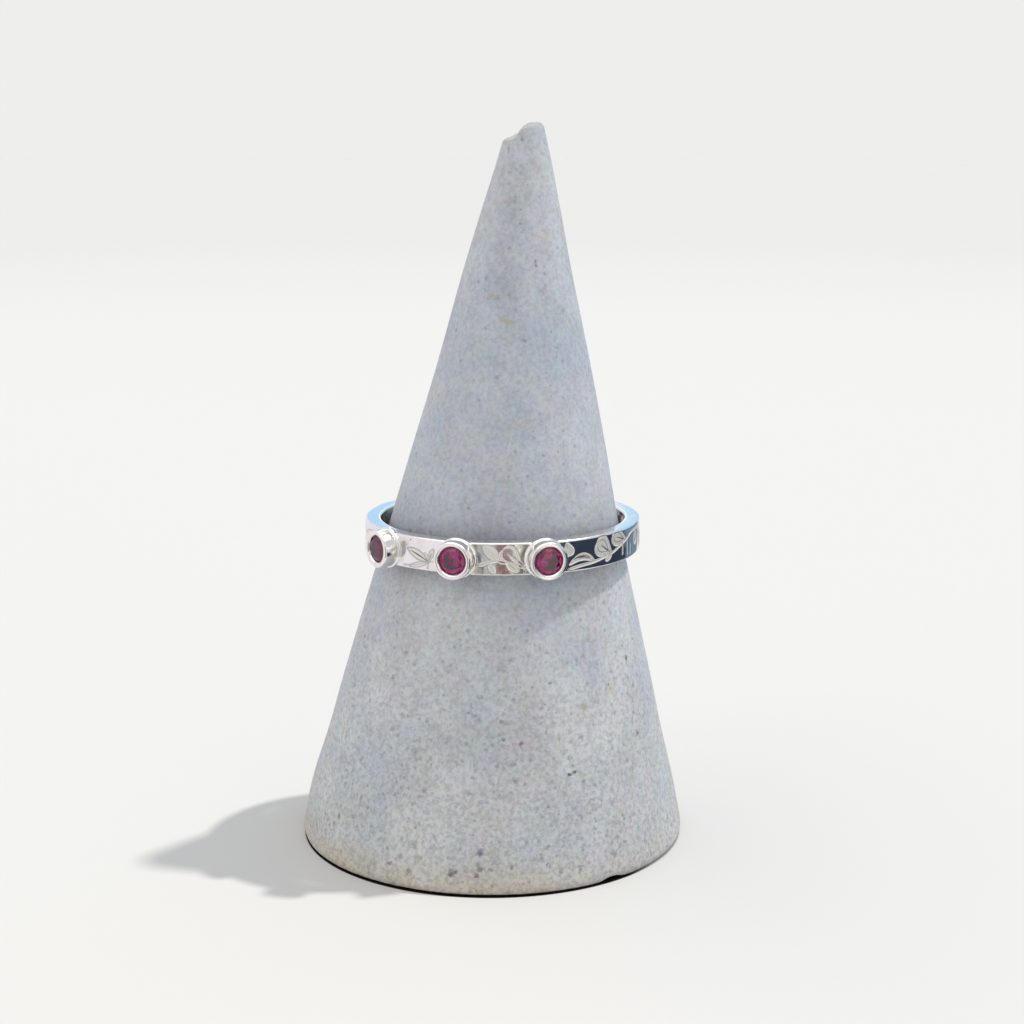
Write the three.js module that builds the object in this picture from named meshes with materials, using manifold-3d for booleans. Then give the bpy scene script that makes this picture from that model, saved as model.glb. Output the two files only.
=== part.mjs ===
// A silver stackable ring with three bezel-set stones and an engraved vine, resting on a stone ring cone.
// Millimetres, +Z up. The origin is the centre of the cone's flat base, and the front of the ring faces -Y.
// Angles are degrees round from the front, towards +X.
import * as THREE from "three";
import { ConvexGeometry } from "three/addons/geometries/ConvexGeometry.js";
import { mergeVertices } from "three/addons/utils/BufferGeometryUtils.js";
import Module from "manifold-3d";

// The ring cone
const coneHeight = 54.2;
const coneRadius = 14.9;
const coneLean = 2.5; // how far the tip stands to the right of the base's centre
const coneSides = 40;

// The broken tip and the chipped foot of the cone, where a piece of a ball is cut away
const chipDetail = 2;
const tipChipRadius = 1.8;
const tipChipAside = 1.7; // from the tip's centre to the ball's, towards -X
const tipChipAbove = 0.4; // from the tip's top to the ball's centre
const footChipRadius = 2.5;
const footChipHeight = 0.5;
const footChipOutside = 0.5; // from the foot's edge out to the ball's centre
const footChipAngle = 40;

// The band
const boreRadius = 9.27; // a US size 8 and a half
const bandThickness = 1.2;
const bandWidth = 2.4;
const bandEdge = 0.15; // chamfer of the four edges
const bandSides = 72;
const seatGap = 0.1; // between the bore's lower edge and the cone

// The stones, with heights as shares of the diameter
const stoneDiameter = 2.25;
const tableShare = 0.58; // the table's diameter
const crownShare = 0.15;
const girdleShare = 0.035;
const pavilionShare = 0.43;
const starShare = 0.5; // how far the star facets reach from the table to the girdle
const lowerShare = 0.22; // where the pavilion's lower facets end, from the culet to the girdle
const stoneGap = 0.04; // between a stone and its cup
const culetSunk = 0.28; // the culet below the band's outer face
const middleStoneAngle = -18;
const stoneSpacing = 35;

// The cups that hold the stones
const cupWall = 0.275; // from the stone's girdle to the cup's outside
const cupReach = 0.165; // of the rim over the stone
const rimAboveTable = 0.05;
const rimRound = 0.2;
const rimFlat = 0.04;
const lipThickness = 0.06; // of the metal where it ends on the stone
const cupFootFlare = 0.1;
const cupFootHeight = 0.18;
const cupSunk = 0.2; // the foot below the band's outer face, so that it closes on the curve
const cupSides = 24;

// The engraved vine
const vineWaves = 5;
const vineMiddle = 60; // an angle at which the stem climbs through the middle of the band
const stemRise = 0.65; // of half the band's width
const stemSteps = 72;
const leavesPerWave = 6; // on each side of the stem
const firstLeaf = 2; // from the middle of a wave
const leafLength = 1.35;
const leafWidth = 0.75;
const leafSteepest = 60; // from the band's length
const smallestLeaf = 0.5; // of a whole leaf
const leafSteps = 8;
const lineWidth = 0.17;
const stemDepth = 0.1;
const leafDepth = 0.08;
const veinDepth = 0.06;
const edgeMargin = 0.26; // from a leaf's tip to the band's edge
const cutterAbove = 0.1; // how far a line's cutter stands out of the band

// A leaf's side, from the stem to its round end, and its vein: shares of its length and of half its width
const leafSide = [
  { along: 0.0, across: 0.3 },
  { along: 0.3, across: 0.66 },
  { along: 0.7, across: 1.0 },
  { along: 0.95, across: 0.6 },
];
const leafVein = [
  { along: 0.2, across: 0.0 },
  { along: 0.62, across: 0.0 },
];

const outerRadius = boreRadius + bandThickness;
const stoneAngles = [-1, 0, 1].map((place) => middleStoneAngle + place * stoneSpacing);

// Heights from the band's outer face, along a stone's axis
const stoneRadius = stoneDiameter / 2;
const tableRadius = tableShare * stoneRadius;
const culetHeight = -culetSunk;
const girdleFoot = culetHeight + pavilionShare * stoneDiameter;
const girdleTop = girdleFoot + girdleShare * stoneDiameter;
const tableHeight = girdleTop + crownShare * stoneDiameter;
const cupHeight = tableHeight + rimAboveTable;
const cupRadius = stoneRadius + cupWall;
const openingRadius = stoneRadius - cupReach;

// The cone's sections, as shares of its height, radius and lean
const coneSections = [
  { height: 0.0, radius: 0.977, lean: 0.0 },
  { height: 0.009, radius: 1.0, lean: 0.0 },
  { height: 0.028, radius: 0.985, lean: 0.0 },
  { height: 0.074, radius: 0.943, lean: 0.01 },
  { height: 0.148, radius: 0.867, lean: 0.08 },
  { height: 0.221, radius: 0.801, lean: 0.145 },
  { height: 0.295, radius: 0.731, lean: 0.21 },
  { height: 0.369, radius: 0.661, lean: 0.28 },
  { height: 0.443, radius: 0.59, lean: 0.36 },
  { height: 0.554, radius: 0.493, lean: 0.52 },
  { height: 0.664, radius: 0.393, lean: 0.66 },
  { height: 0.812, radius: 0.26, lean: 0.79 },
  { height: 0.886, radius: 0.192, lean: 0.89 },
  { height: 0.959, radius: 0.129, lean: 0.97 },
  { height: 0.985, radius: 0.105, lean: 1.0 },
  { height: 0.9945, radius: 0.081, lean: 1.0 },
  { height: 1.0, radius: 0.04, lean: 1.0 },
];

const wasm = await Module();
wasm.setup();

// A closed geometry as a solid that can be joined and cut.
function solidOf(geometry) {
  const bare = geometry.clone();
  bare.deleteAttribute("normal");
  bare.deleteAttribute("uv");
  const merged = mergeVertices(bare, 1e-5);
  return new wasm.Manifold(
    new wasm.Mesh({
      numProp: 3,
      vertProperties: merged.attributes.position.array,
      triVerts: new Uint32Array(merged.index.array),
    }),
  );
}

// A solid as a geometry that a mesh can hold.
function geometryOf(solid) {
  const { numProp, numVert, vertProperties, triVerts } = solid.getMesh();
  const positions = new Float32Array(numVert * 3);
  for (let i = 0; i < numVert; i++) {
    positions.set(vertProperties.subarray(i * numProp, i * numProp + 3), i * 3);
  }
  const geometry = new THREE.BufferGeometry();
  geometry.setAttribute("position", new THREE.BufferAttribute(positions, 3));
  geometry.setIndex(new THREE.BufferAttribute(triVerts, 1));
  geometry.computeVertexNormals();
  return geometry;
}

// A profile of [radius, height] pairs turned about Z.
function turned(profile, sides) {
  const points = profile.map(([radius, height]) => new THREE.Vector2(radius, height));
  return new THREE.LatheGeometry(points, sides).rotateX(Math.PI / 2);
}

// The value in one column of the cone's table, where another column passes a share.
function coneColumn(column, other, share) {
  const above = coneSections.findIndex(
    (row, i) => i > 0 && (row[other] - share) * (coneSections[i - 1][other] - share) <= 0,
  );
  const [low, high] = [coneSections[above - 1], coneSections[above]];
  return THREE.MathUtils.mapLinear(share, low[other], high[other], low[column], high[column]);
}

// Where the cone has a given radius: its height and lean there.
function seatOf(radius) {
  const height = coneColumn("height", "radius", radius / coneRadius);
  return { height: coneHeight * height, lean: coneLean * coneColumn("lean", "height", height) };
}

// The cone: circles of the table's sections, with the tip and the foot chipped.
function coneGeometry() {
  const profile = coneSections.map((row) => [coneRadius * row.radius, coneHeight * row.height]);
  const geometry = turned([[0, 0], ...profile, [0, coneHeight]], coneSides);
  const { position } = geometry.attributes;
  for (let i = 0; i < position.count; i++) {
    const share = THREE.MathUtils.clamp(position.getZ(i) / coneHeight, 0, 1);
    position.setX(i, position.getX(i) + coneLean * coneColumn("lean", "height", share));
  }
  const tipChip = new THREE.IcosahedronGeometry(tipChipRadius, chipDetail);
  tipChip.translate(coneLean - tipChipAside, 0, coneHeight + tipChipAbove);
  const footChip = new THREE.IcosahedronGeometry(footChipRadius, chipDetail);
  const footRadius = coneRadius * coneSections[0].radius;
  footChip.translate(0, -footRadius - footChipOutside, footChipHeight - footChipRadius);
  footChip.rotateZ(THREE.MathUtils.degToRad(footChipAngle));
  return geometryOf(solidOf(geometry).subtract(solidOf(tipChip)).subtract(solidOf(footChip)));
}

// The plain band, centred on its own middle, with its edges chamfered.
function bandGeometry() {
  const half = bandWidth / 2;
  const profile = [
    [boreRadius + bandEdge, -half],
    [outerRadius - bandEdge, -half],
    [outerRadius, bandEdge - half],
    [outerRadius, half - bandEdge],
    [outerRadius - bandEdge, half],
    [boreRadius + bandEdge, half],
    [boreRadius, half - bandEdge],
    [boreRadius, bandEdge - half],
  ];
  return turned([...profile, profile[0]], bandSides);
}

// The angle that a length of the band's outer face takes up.
function angleOf(length) {
  return THREE.MathUtils.radToDeg(length / outerRadius);
}

// A cutter for one engraved line through points of [angle, height]: a bar that follows it round the band.
function engravedLine(points, steps, depth) {
  const flat = points.map(([angle, height]) => {
    return new THREE.Vector2(THREE.MathUtils.degToRad(angle) * outerRadius, height);
  });
  const path = new THREE.SplineCurve(flat);
  const bar = new THREE.BoxGeometry(1, lineWidth, depth + cutterAbove, steps, 1, 1);
  bar.translate(0.5, 0, (cutterAbove - depth) / 2);
  const { position } = bar.attributes;
  for (let i = 0; i < position.count; i++) {
    const point = path.getPoint(position.getX(i));
    const tangent = path.getTangent(position.getX(i));
    const across = position.getY(i);
    const radius = outerRadius + position.getZ(i);
    const turn = (point.x - across * tangent.y) / outerRadius;
    position.setXYZ(i, radius * Math.sin(turn), -radius * Math.cos(turn), point.y + across * tangent.x);
  }
  return bar;
}

// The stem's height at an angle: a wave round the band.
function stemHeight(angle) {
  const wave = Math.sin(vineWaves * THREE.MathUtils.degToRad(angle - vineMiddle));
  return (stemRise * bandWidth * wave) / 2;
}

// The stem, all the way round. Its two ends lie under the middle cup.
function stemLine() {
  const hidden = angleOf(cupRadius / 2);
  const points = Array.from({ length: stemSteps + 1 }, (_, i) => {
    const angle = THREE.MathUtils.lerp(hidden, 360 - hidden, i / stemSteps) + middleStoneAngle;
    return [angle, stemHeight(angle)];
  });
  return engravedLine(points, stemSteps, stemDepth);
}

// One leaf: a drop that is open at the stem and round at its end, and its vein. It leans back along the stem,
// and it is smaller where the stem runs near the band's edge. Where it would be too small it is left out.
function leafLines(angle, side) {
  const root = stemHeight(angle);
  const slope = THREE.MathUtils.degToRad(leafSteepest);
  const room = bandWidth / 2 - edgeMargin - side * root;
  const size = Math.min(room / (leafLength * Math.sin(slope)), 1);
  if (size < smallestLeaf) return [];
  const placed = ({ along, across }) => {
    const forth = size * leafLength * along;
    const aside = (size * leafWidth * across) / 2;
    return [
      angle - angleOf(forth * Math.cos(slope) + aside * Math.sin(slope)),
      root + side * (forth * Math.sin(slope) - aside * Math.cos(slope)),
    ];
  };
  const otherSide = leafSide.map(({ along, across }) => ({ along, across: -across })).reverse();
  return [
    engravedLine([...leafSide, ...otherSide].map(placed), leafSteps, leafDepth),
    engravedLine(leafVein.map(placed), 1, veinDepth),
  ];
}

// The stem and its pairs of leaves. A pair under a cup is left out.
function vineLines() {
  const lines = [stemLine()];
  const pairs = vineWaves * leavesPerWave;
  for (let i = 0; i < pairs; i++) {
    const angle = vineMiddle + firstLeaf + (i * 360) / pairs;
    const middle = angle - angleOf(leafLength / 4);
    const apart = (stone) => Math.abs(THREE.MathUtils.euclideanModulo(middle - stone + 180, 360) - 180);
    if (stoneAngles.every((stone) => apart(stone) > angleOf(cupRadius))) {
      lines.push(...leafLines(angle, 1), ...leafLines(angle, -1));
    }
  }
  return lines;
}

// A round brilliant cut: the hull of its corners, with its axis on Z and heights from the band's outer face.
// Each main facet is a plane through one girdle corner, and the star and lower corners lie where two meet.
function stoneGeometry() {
  const betweenMains = Math.cos(Math.PI / 8);
  const starRadius = THREE.MathUtils.lerp(tableRadius * betweenMains, stoneRadius, starShare);
  const starFall = (starRadius * betweenMains - tableRadius) / (stoneRadius - tableRadius);
  const lowerRadius = lowerShare * stoneRadius;
  const lowerRise = (lowerRadius * betweenMains) / stoneRadius;
  const corners = [new THREE.Vector3(0, 0, culetHeight)];
  const corner = (radius, eighths, height) => {
    const turn = (eighths * Math.PI) / 4;
    corners.push(new THREE.Vector3(radius * Math.cos(turn), radius * Math.sin(turn), height));
  };
  for (let main = 0; main < 8; main++) {
    corner(tableRadius, main, tableHeight);
    corner(starRadius, main + 0.5, THREE.MathUtils.lerp(tableHeight, girdleTop, starFall));
    corner(lowerRadius, main + 0.5, THREE.MathUtils.lerp(culetHeight, girdleFoot, lowerRise));
    for (const eighths of [main, main + 0.5]) {
      corner(stoneRadius, eighths, girdleTop);
      corner(stoneRadius, eighths, girdleFoot);
    }
  }
  return new ConvexGeometry(corners);
}

// A cup without its hollow: its foot is sunk in the band, and its rim is rounded.
function cupGeometry() {
  const rim = [0, 30, 60, 90].map((turn) => {
    const part = THREE.MathUtils.degToRad(turn);
    return [cupRadius - rimRound * (1 - Math.cos(part)), cupHeight - rimRound * (1 - Math.sin(part))];
  });
  const foot = [
    [0, -cupSunk],
    [cupRadius + cupFootFlare, -cupSunk],
    [cupRadius + cupFootFlare, 0],
    [cupRadius, cupFootHeight],
  ];
  return turned([...foot, ...rim, [0, cupHeight]], cupSides);
}

// The hollow of a cup: it follows the stone with a gap, closes in over the crown and widens past the rim.
function hollowGeometry() {
  const seatRadius = stoneRadius + stoneGap;
  const crownFall = (openingRadius - tableRadius) / (stoneRadius - tableRadius);
  const lipFoot = THREE.MathUtils.lerp(tableHeight, girdleTop, crownFall) + stoneGap;
  const lipTop = lipFoot + lipThickness;
  const beyondRim = 2 * cupHeight - lipTop;
  const mouthRadius = cupRadius - rimRound - rimFlat;
  const profile = [
    [0, culetHeight - stoneGap],
    [seatRadius, girdleFoot - stoneGap],
    [seatRadius, girdleTop + stoneGap],
    [openingRadius, lipFoot],
    [openingRadius, lipTop],
    [2 * mouthRadius - openingRadius, beyondRim],
    [0, beyondRim],
  ];
  return turned(profile, cupSides);
}

// A geometry on its own axis, with heights from the band's outer face, as a solid at its place on the band.
function onBandAt(geometry, angle) {
  geometry.translate(0, 0, outerRadius).rotateX(Math.PI / 2).rotateZ(THREE.MathUtils.degToRad(angle));
  return solidOf(geometry);
}

// The band with its vine cut in and its cups soldered on.
function ringGeometry() {
  let metal = solidOf(bandGeometry());
  for (const line of vineLines()) {
    metal = metal.subtract(solidOf(line));
  }
  for (const angle of stoneAngles) {
    metal = metal.add(onBandAt(cupGeometry(), angle));
    metal = metal.subtract(onBandAt(hollowGeometry(), angle));
  }
  return geometryOf(metal);
}

const silver = new THREE.MeshStandardMaterial({ color: 0xd8d8dc, roughness: 0.18, metalness: 1 });
const ruby = new THREE.MeshStandardMaterial({ color: 0x9a1350, roughness: 0.05, metalness: 0 });
const stoneware = new THREE.MeshStandardMaterial({ color: 0xb8bdc8, roughness: 0.9, metalness: 0 });

function named(name, geometry, material) {
  const mesh = new THREE.Mesh(geometry, material);
  mesh.name = name;
  return mesh;
}

const seat = seatOf(boreRadius - seatGap);
const ring = new THREE.Group();
ring.position.set(seat.lean, 0, seat.height - bandEdge + bandWidth / 2);
ring.add(named("ring_band", ringGeometry(), silver));
["ruby_left", "ruby_middle", "ruby_right"].forEach((name, i) => {
  const place = new THREE.Group();
  place.rotation.z = THREE.MathUtils.degToRad(stoneAngles[i]);
  const stone = named(name, stoneGeometry(), ruby);
  stone.rotation.x = Math.PI / 2;
  stone.position.y = -outerRadius;
  place.add(stone);
  ring.add(place);
});

const group = new THREE.Group();
group.add(named("ring_cone", coneGeometry(), stoneware), ring);

export default group;
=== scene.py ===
"""A silver stackable ring with three rubies and an engraved vine, resting on a stoneware ring cone.

The sizes below are in millimetres and degrees, and the meshes are in metres. Angles round the ring and the
cone start at the front, at -Y, and grow towards +X. The whole scene stands in the frame that is loaded first:
the ring and the cone take their places from it, and the cut stones are its own solids with a new finish.
"""

import logging
import math
from dataclasses import dataclass, field
from enum import Enum
from functools import partial
from typing import Any
import bpy
import numpy as np
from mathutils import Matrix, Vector


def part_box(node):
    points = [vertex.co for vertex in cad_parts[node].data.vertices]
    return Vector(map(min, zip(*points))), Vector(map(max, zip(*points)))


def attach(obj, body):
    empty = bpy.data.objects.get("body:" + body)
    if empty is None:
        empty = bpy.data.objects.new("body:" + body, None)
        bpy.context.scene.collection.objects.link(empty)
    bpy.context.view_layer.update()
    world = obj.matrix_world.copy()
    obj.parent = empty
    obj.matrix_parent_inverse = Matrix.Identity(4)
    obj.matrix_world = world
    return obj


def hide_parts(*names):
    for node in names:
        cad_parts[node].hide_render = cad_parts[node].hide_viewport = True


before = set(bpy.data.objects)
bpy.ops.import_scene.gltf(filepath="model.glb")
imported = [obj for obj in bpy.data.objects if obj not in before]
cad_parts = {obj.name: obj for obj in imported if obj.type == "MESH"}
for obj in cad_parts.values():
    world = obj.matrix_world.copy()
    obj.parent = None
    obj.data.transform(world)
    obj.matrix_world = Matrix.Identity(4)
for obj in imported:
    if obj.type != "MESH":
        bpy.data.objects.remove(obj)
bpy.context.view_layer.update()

MM = 0.001
LOG = logging.getLogger("stackable_ring")


def smooth_step(low: float, high: float, value: np.ndarray) -> np.ndarray:
    """Rise from 0 to 1 between two values, as 3t squared minus 2t cubed.

    Args:
        low: the value at which the rise starts.
        high: the value at which it ends.
        value: any array.

    Returns:
        The rise, as an array of the same shape.
    """
    share = np.clip((value - low) / (high - low), 0.0, 1.0)
    return share * share * (3.0 - 2.0 * share)


def smooth_through(places: np.ndarray, values: np.ndarray, wanted: np.ndarray) -> np.ndarray:
    """Run a smooth curve through a table: a cubic between each two rows, with the table's own slopes at both.

    Args:
        places: the rows' places, rising.
        values: the rows' values.
        wanted: the places at which the curve is read.

    Returns:
        The curve's values at the wanted places.
    """
    slopes = np.gradient(values, places)
    row = np.clip(np.searchsorted(places, wanted) - 1, 0, len(places) - 2)
    gap = places[row + 1] - places[row]
    share = np.clip((wanted - places[row]) / gap, 0.0, 1.0)
    ease = share * share * (3.0 - 2.0 * share)
    leave = share * (1.0 - share) ** 2 * gap * slopes[row]
    arrive = share * share * (share - 1.0) * gap * slopes[row + 1]
    return values[row] * (1.0 - ease) + values[row + 1] * ease + leave + arrive


def waves_of(table: tuple[tuple[float, ...], ...], first: np.ndarray, second: np.ndarray) -> np.ndarray:
    """Add up the waves of hand work: for each row of the table, its size times the sine of a sum.

    The sum is the row's second number times the first value, its third times the second value, and its
    fourth.

    Args:
        table: the rows of four numbers.
        first: an array of angles or places.
        second: another, of heights or places.

    Returns:
        The waves' sum, as an array.
    """
    return sum(size * np.sin(a * first + b * second + start) for size, a, b, start in table)


def ring_quads(rows: int, around: int, closed: bool) -> np.ndarray:
    """Number the corners of the four-sided faces between rings of points.

    Args:
        rows: how many rings there are.
        around: how many points each ring has.
        closed: whether the last ring joins the first.

    Returns:
        One row of four point numbers for each face.
    """
    first = np.arange(rows if closed else rows - 1)[:, None]
    step = np.arange(around)[None, :]
    above = (first + 1) % rows
    ahead = (step + 1) % around
    corners = (first * around + step, first * around + ahead, above * around + ahead, above * around + step)
    return np.stack(corners, axis=-1).reshape(-1, 4)


def pole_fans(rows: int, around: int) -> np.ndarray:
    """Number the corners of the triangles that close the first and last ring on their poles.

    The first pole is the point after all the rings, and the last pole is the one after it.

    Args:
        rows: how many rings there are.
        around: how many points each ring has.

    Returns:
        One row of three point numbers for each triangle.
    """
    step = np.arange(around)
    ahead = (step + 1) % around
    last = (rows - 1) * around
    foot = np.stack((np.full(around, rows * around), ahead, step), axis=-1)
    top = np.stack((np.full(around, rows * around + 1), last + step, last + ahead), axis=-1)
    return np.concatenate((foot, top))


def new_piece(name: str, points: np.ndarray, quads: np.ndarray, triangles: np.ndarray | None = None) -> Any:
    """Make an object from arrays, smooth shaded, at the origin.

    Args:
        name: the piece's name.
        points: the corners, in millimetres.
        quads: the four-sided faces.
        triangles: the three-sided faces, if there are any.

    Returns:
        The new object.
    """
    triangles = np.empty((0, 3), dtype=int) if triangles is None else triangles
    sizes = np.concatenate((np.full(len(quads), 4), np.full(len(triangles), 3)))
    corners = np.concatenate((quads.ravel(), triangles.ravel())).astype(np.int32)
    mesh = bpy.data.meshes.new(name)
    mesh.vertices.add(len(points))
    mesh.vertices.foreach_set("co", (points * MM).astype(np.float32).ravel())
    mesh.loops.add(len(corners))
    mesh.loops.foreach_set("vertex_index", corners)
    mesh.polygons.add(len(sizes))
    mesh.polygons.foreach_set("loop_start", (np.cumsum(sizes) - sizes).astype(np.int32))
    mesh.update(calc_edges=True)
    mesh.shade_smooth()
    piece = bpy.data.objects.new(name, mesh)
    bpy.context.scene.collection.objects.link(piece)
    return piece


def keep_mask(piece: Any, name: str, values: np.ndarray) -> None:
    """Store one number for each point of a piece, for its material to read.

    Args:
        piece: the object.
        name: the attribute's name.
        values: a number for each point.
    """
    mask = piece.data.attributes.new(name, "FLOAT", "POINT")
    mask.data.foreach_set("value", values.astype(np.float32).ravel())


def cut_or_join(piece: Any, tool: Any, operation: str) -> None:
    """Join a tool's solid to a piece or cut it away, and delete the tool.

    Args:
        piece: the object that is changed.
        tool: the object that is joined or cut away.
        operation: UNION or DIFFERENCE.
    """
    change = piece.modifiers.new(operation.lower(), "BOOLEAN")
    change.operation = operation
    change.solver = "MANIFOLD"
    change.object = tool
    made = piece.evaluated_get(bpy.context.evaluated_depsgraph_get())
    changed = bpy.data.meshes.new_from_object(made)
    piece.modifiers.clear()
    before = piece.data
    piece.data = changed
    bpy.data.meshes.remove(before)
    changed.name = piece.name
    bpy.data.objects.remove(tool)


class Wiring:
    """One node tree, with short ways to add and link its nodes."""

    def __init__(self, tree: Any) -> None:
        """Take the tree that the nodes go into."""
        self.tree = tree

    def add(self, kind: str, sockets: dict[Any, Any] | None = None, **settings: Any) -> Any:
        """Add a node.

        Args:
            kind: the node's type.
            sockets: a value or another node's output for each named or numbered input.
            settings: the node's own properties.

        Returns:
            The node.
        """
        node = self.tree.nodes.new(kind)
        for name, value in settings.items():
            setattr(node, name, value)
        self.connect(node, sockets or {})
        return node

    def connect(self, node: Any, sockets: dict[Any, Any]) -> None:
        """Set or link a node's inputs.

        Args:
            node: the node.
            sockets: a value or another node's output for each named or numbered input.
        """
        for name, value in sockets.items():
            if isinstance(value, bpy.types.NodeSocket):
                self.tree.links.new(value, node.inputs[name])
            else:
                node.inputs[name].default_value = value

    def sum(self, operation: str, first: Any, second: Any = 0.0) -> Any:
        """Add a Math node, and give its output.

        Args:
            operation: what the node works out.
            first: its first value or socket.
            second: its second value or socket.

        Returns:
            The node's output.
        """
        return self.add("ShaderNodeMath", {0: first, 1: second}, operation=operation).outputs[0]

    def vector(self, operation: str, first: Any, second: Any) -> Any:
        """Add a Vector Math node, and give the node.

        Args:
            operation: what the node works out.
            first: its first vector or socket.
            second: its second vector or socket.

        Returns:
            The node, which has a vector and a number as outputs.
        """
        return self.add("ShaderNodeVectorMath", {0: first, 1: second}, operation=operation)

    def rise(self, value: Any, low: Any, high: Any, start: Any = 0.0, end: Any = 1.0) -> Any:
        """Add a smooth rise or fall between two values of a socket.

        Args:
            value: the socket that is read.
            low: where the change starts.
            high: where it ends.
            start: the output before it.
            end: the output after it.

        Returns:
            The output.
        """
        sockets = {"Value": value, "From Min": low, "From Max": high, "To Min": start, "To Max": end}
        return self.add("ShaderNodeMapRange", sockets, interpolation_type="SMOOTHSTEP").outputs[0]

    def blend(self, share: Any, first: Any, second: Any, way: str = "MIX") -> Any:
        """Mix two colours.

        Args:
            share: how much of the second colour shows.
            first: the first colour or socket.
            second: the second colour or socket.
            way: the kind of mix.

        Returns:
            The mixed colour's output.
        """
        sockets = {0: share, 6: first, 7: second}
        return self.add("ShaderNodeMix", sockets, data_type="RGBA", blend_type=way).outputs[2]

    def group(self, group: Any, sockets: dict[str, Any]) -> Any:
        """Place a node group.

        Args:
            group: the group's tree.
            sockets: a value or socket for each of its inputs.

        Returns:
            The group's first output.
        """
        return self.add("ShaderNodeGroup", sockets, node_tree=group).outputs[0]


class Effect:
    """A shader node group with named inputs and one output, built once and placed in several materials."""

    def __init__(self, name: str, output: str, vectors: tuple[str, ...], numbers: tuple[str, ...]) -> None:
        """Make an empty group.

        Args:
            name: the effect's name.
            output: the name of its one output, which is a number.
            vectors: the names of the inputs that are vectors.
            numbers: the names of those that are numbers.
        """
        self.tree = bpy.data.node_groups.new(name, "ShaderNodeTree")
        for label in (*vectors, *numbers):
            kind = "NodeSocketVector" if label in vectors else "NodeSocketFloat"
            self.tree.interface.new_socket(label, in_out="INPUT", socket_type=kind)
        self.tree.interface.new_socket(output, in_out="OUTPUT", socket_type="NodeSocketFloat")
        self.wiring = Wiring(self.tree)
        self.given = self.tree.nodes.new("NodeGroupInput").outputs
        self.result = self.tree.nodes.new("NodeGroupOutput").inputs[0]

    def finish(self, value: Any) -> Any:
        """Link the effect's value to its output.

        Args:
            value: the socket that holds it.

        Returns:
            The group's tree.
        """
        self.tree.links.new(value, self.result)
        return self.tree


class Effects:
    """The effects that several finishes share."""

    def __init__(self) -> None:
        """Build each group once."""
        self.clouds = self.make_clouds()
        self.specks = self.make_specks()
        self.strokes = self.make_strokes()
        self.spot = self.make_spot()

    @staticmethod
    def make_clouds() -> Any:
        """Build soft clouds: a fractal noise, with all below one value at 0 and all above another at 1.

        Returns:
            The group's tree.
        """
        effect = Effect("soft_clouds", "Cloud", ("Place",), ("Scale", "Roughness", "Low", "High"))
        given, wiring = effect.given, effect.wiring
        sockets = {"Vector": given["Place"], "Scale": given["Scale"], "Roughness": given["Roughness"]}
        noise = wiring.add("ShaderNodeTexNoise", sockets | {"Detail": 4.0})
        return effect.finish(wiring.rise(noise.outputs["Fac"], given["Low"], given["High"]))

    @staticmethod
    def make_specks() -> Any:
        """Build ragged specks of many sizes: a spot at the centre of some of a Voronoi pattern's cells.

        A finer noise shakes the place first, so that no speck is quite round.

        Returns:
            The group's tree.
        """
        effect = Effect("specks", "Speck", ("Place",), ("Scale", "Share", "Size"))
        given, wiring = effect.given, effect.wiring
        place = Effects.shaken(wiring, given["Place"], wiring.sum("MULTIPLY", given["Scale"], 2.4), 0.75)
        cells = wiring.add("ShaderNodeTexVoronoi", {"Vector": place, "Scale": given["Scale"]})
        chance = wiring.add("ShaderNodeSeparateColor", {"Color": cells.outputs["Color"]})
        size = wiring.sum("MULTIPLY", given["Size"], wiring.sum("ADD", chance.outputs["Green"], 0.35))
        spot = wiring.rise(cells.outputs["Distance"], wiring.sum("MULTIPLY", size, 0.4), size, 1.0, 0.0)
        there = wiring.sum("LESS_THAN", chance.outputs["Red"], given["Share"])
        return effect.finish(wiring.sum("MULTIPLY", spot, there))

    @staticmethod
    def shaken(wiring: Wiring, place: Any, scale: Any, reach: float) -> Any:
        """Move a place about by a noise.

        Args:
            wiring: the wiring of the tree.
            place: the place's socket.
            scale: the noise's scale.
            reach: how far the place moves, as a share of the noise's own grain.

        Returns:
            The moved place.
        """
        noise = wiring.add("ShaderNodeTexNoise", {"Vector": place, "Scale": scale, "Detail": 2.0})
        aside = wiring.vector("SUBTRACT", noise.outputs["Color"], (0.5, 0.5, 0.5)).outputs[0]
        step = wiring.vector("MULTIPLY", aside, wiring.sum("DIVIDE", 2.4 * reach, scale)).outputs[0]
        return wiring.vector("ADD", place, step).outputs[0]

    @staticmethod
    def make_strokes() -> Any:
        """Build fine scratches: thin ridges of a noise that is stretched along one direction.

        Returns:
            The group's tree.
        """
        effect = Effect("fine_scratches", "Scratch", ("Place", "Stretch"), ("Scale", "Width"))
        given, wiring = effect.given, effect.wiring
        place = wiring.vector("MULTIPLY", given["Place"], given["Stretch"]).outputs[0]
        sockets = {"Vector": place, "Scale": given["Scale"], "Detail": 1.5, "Distortion": 0.6}
        noise = wiring.add("ShaderNodeTexNoise", sockets).outputs["Fac"]
        ridge = wiring.sum("ABSOLUTE", wiring.sum("SUBTRACT", noise, 0.5))
        return effect.finish(wiring.rise(ridge, 0.0, given["Width"], 1.0, 0.0))

    @staticmethod
    def make_spot() -> Any:
        """Build one soft oval spot at a place of its own.

        Returns:
            The group's tree.
        """
        effect = Effect("oval_spot", "Spot", ("Place", "Centre", "Size"), ())
        given, wiring = effect.given, effect.wiring
        away = wiring.vector("SUBTRACT", given["Place"], given["Centre"]).outputs[0]
        scaled = wiring.vector("DIVIDE", away, given["Size"]).outputs[0]
        length = wiring.vector("LENGTH", scaled, scaled).outputs["Value"]
        return effect.finish(wiring.rise(length, 0.2, 1.1, 1.0, 0.0))


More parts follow.
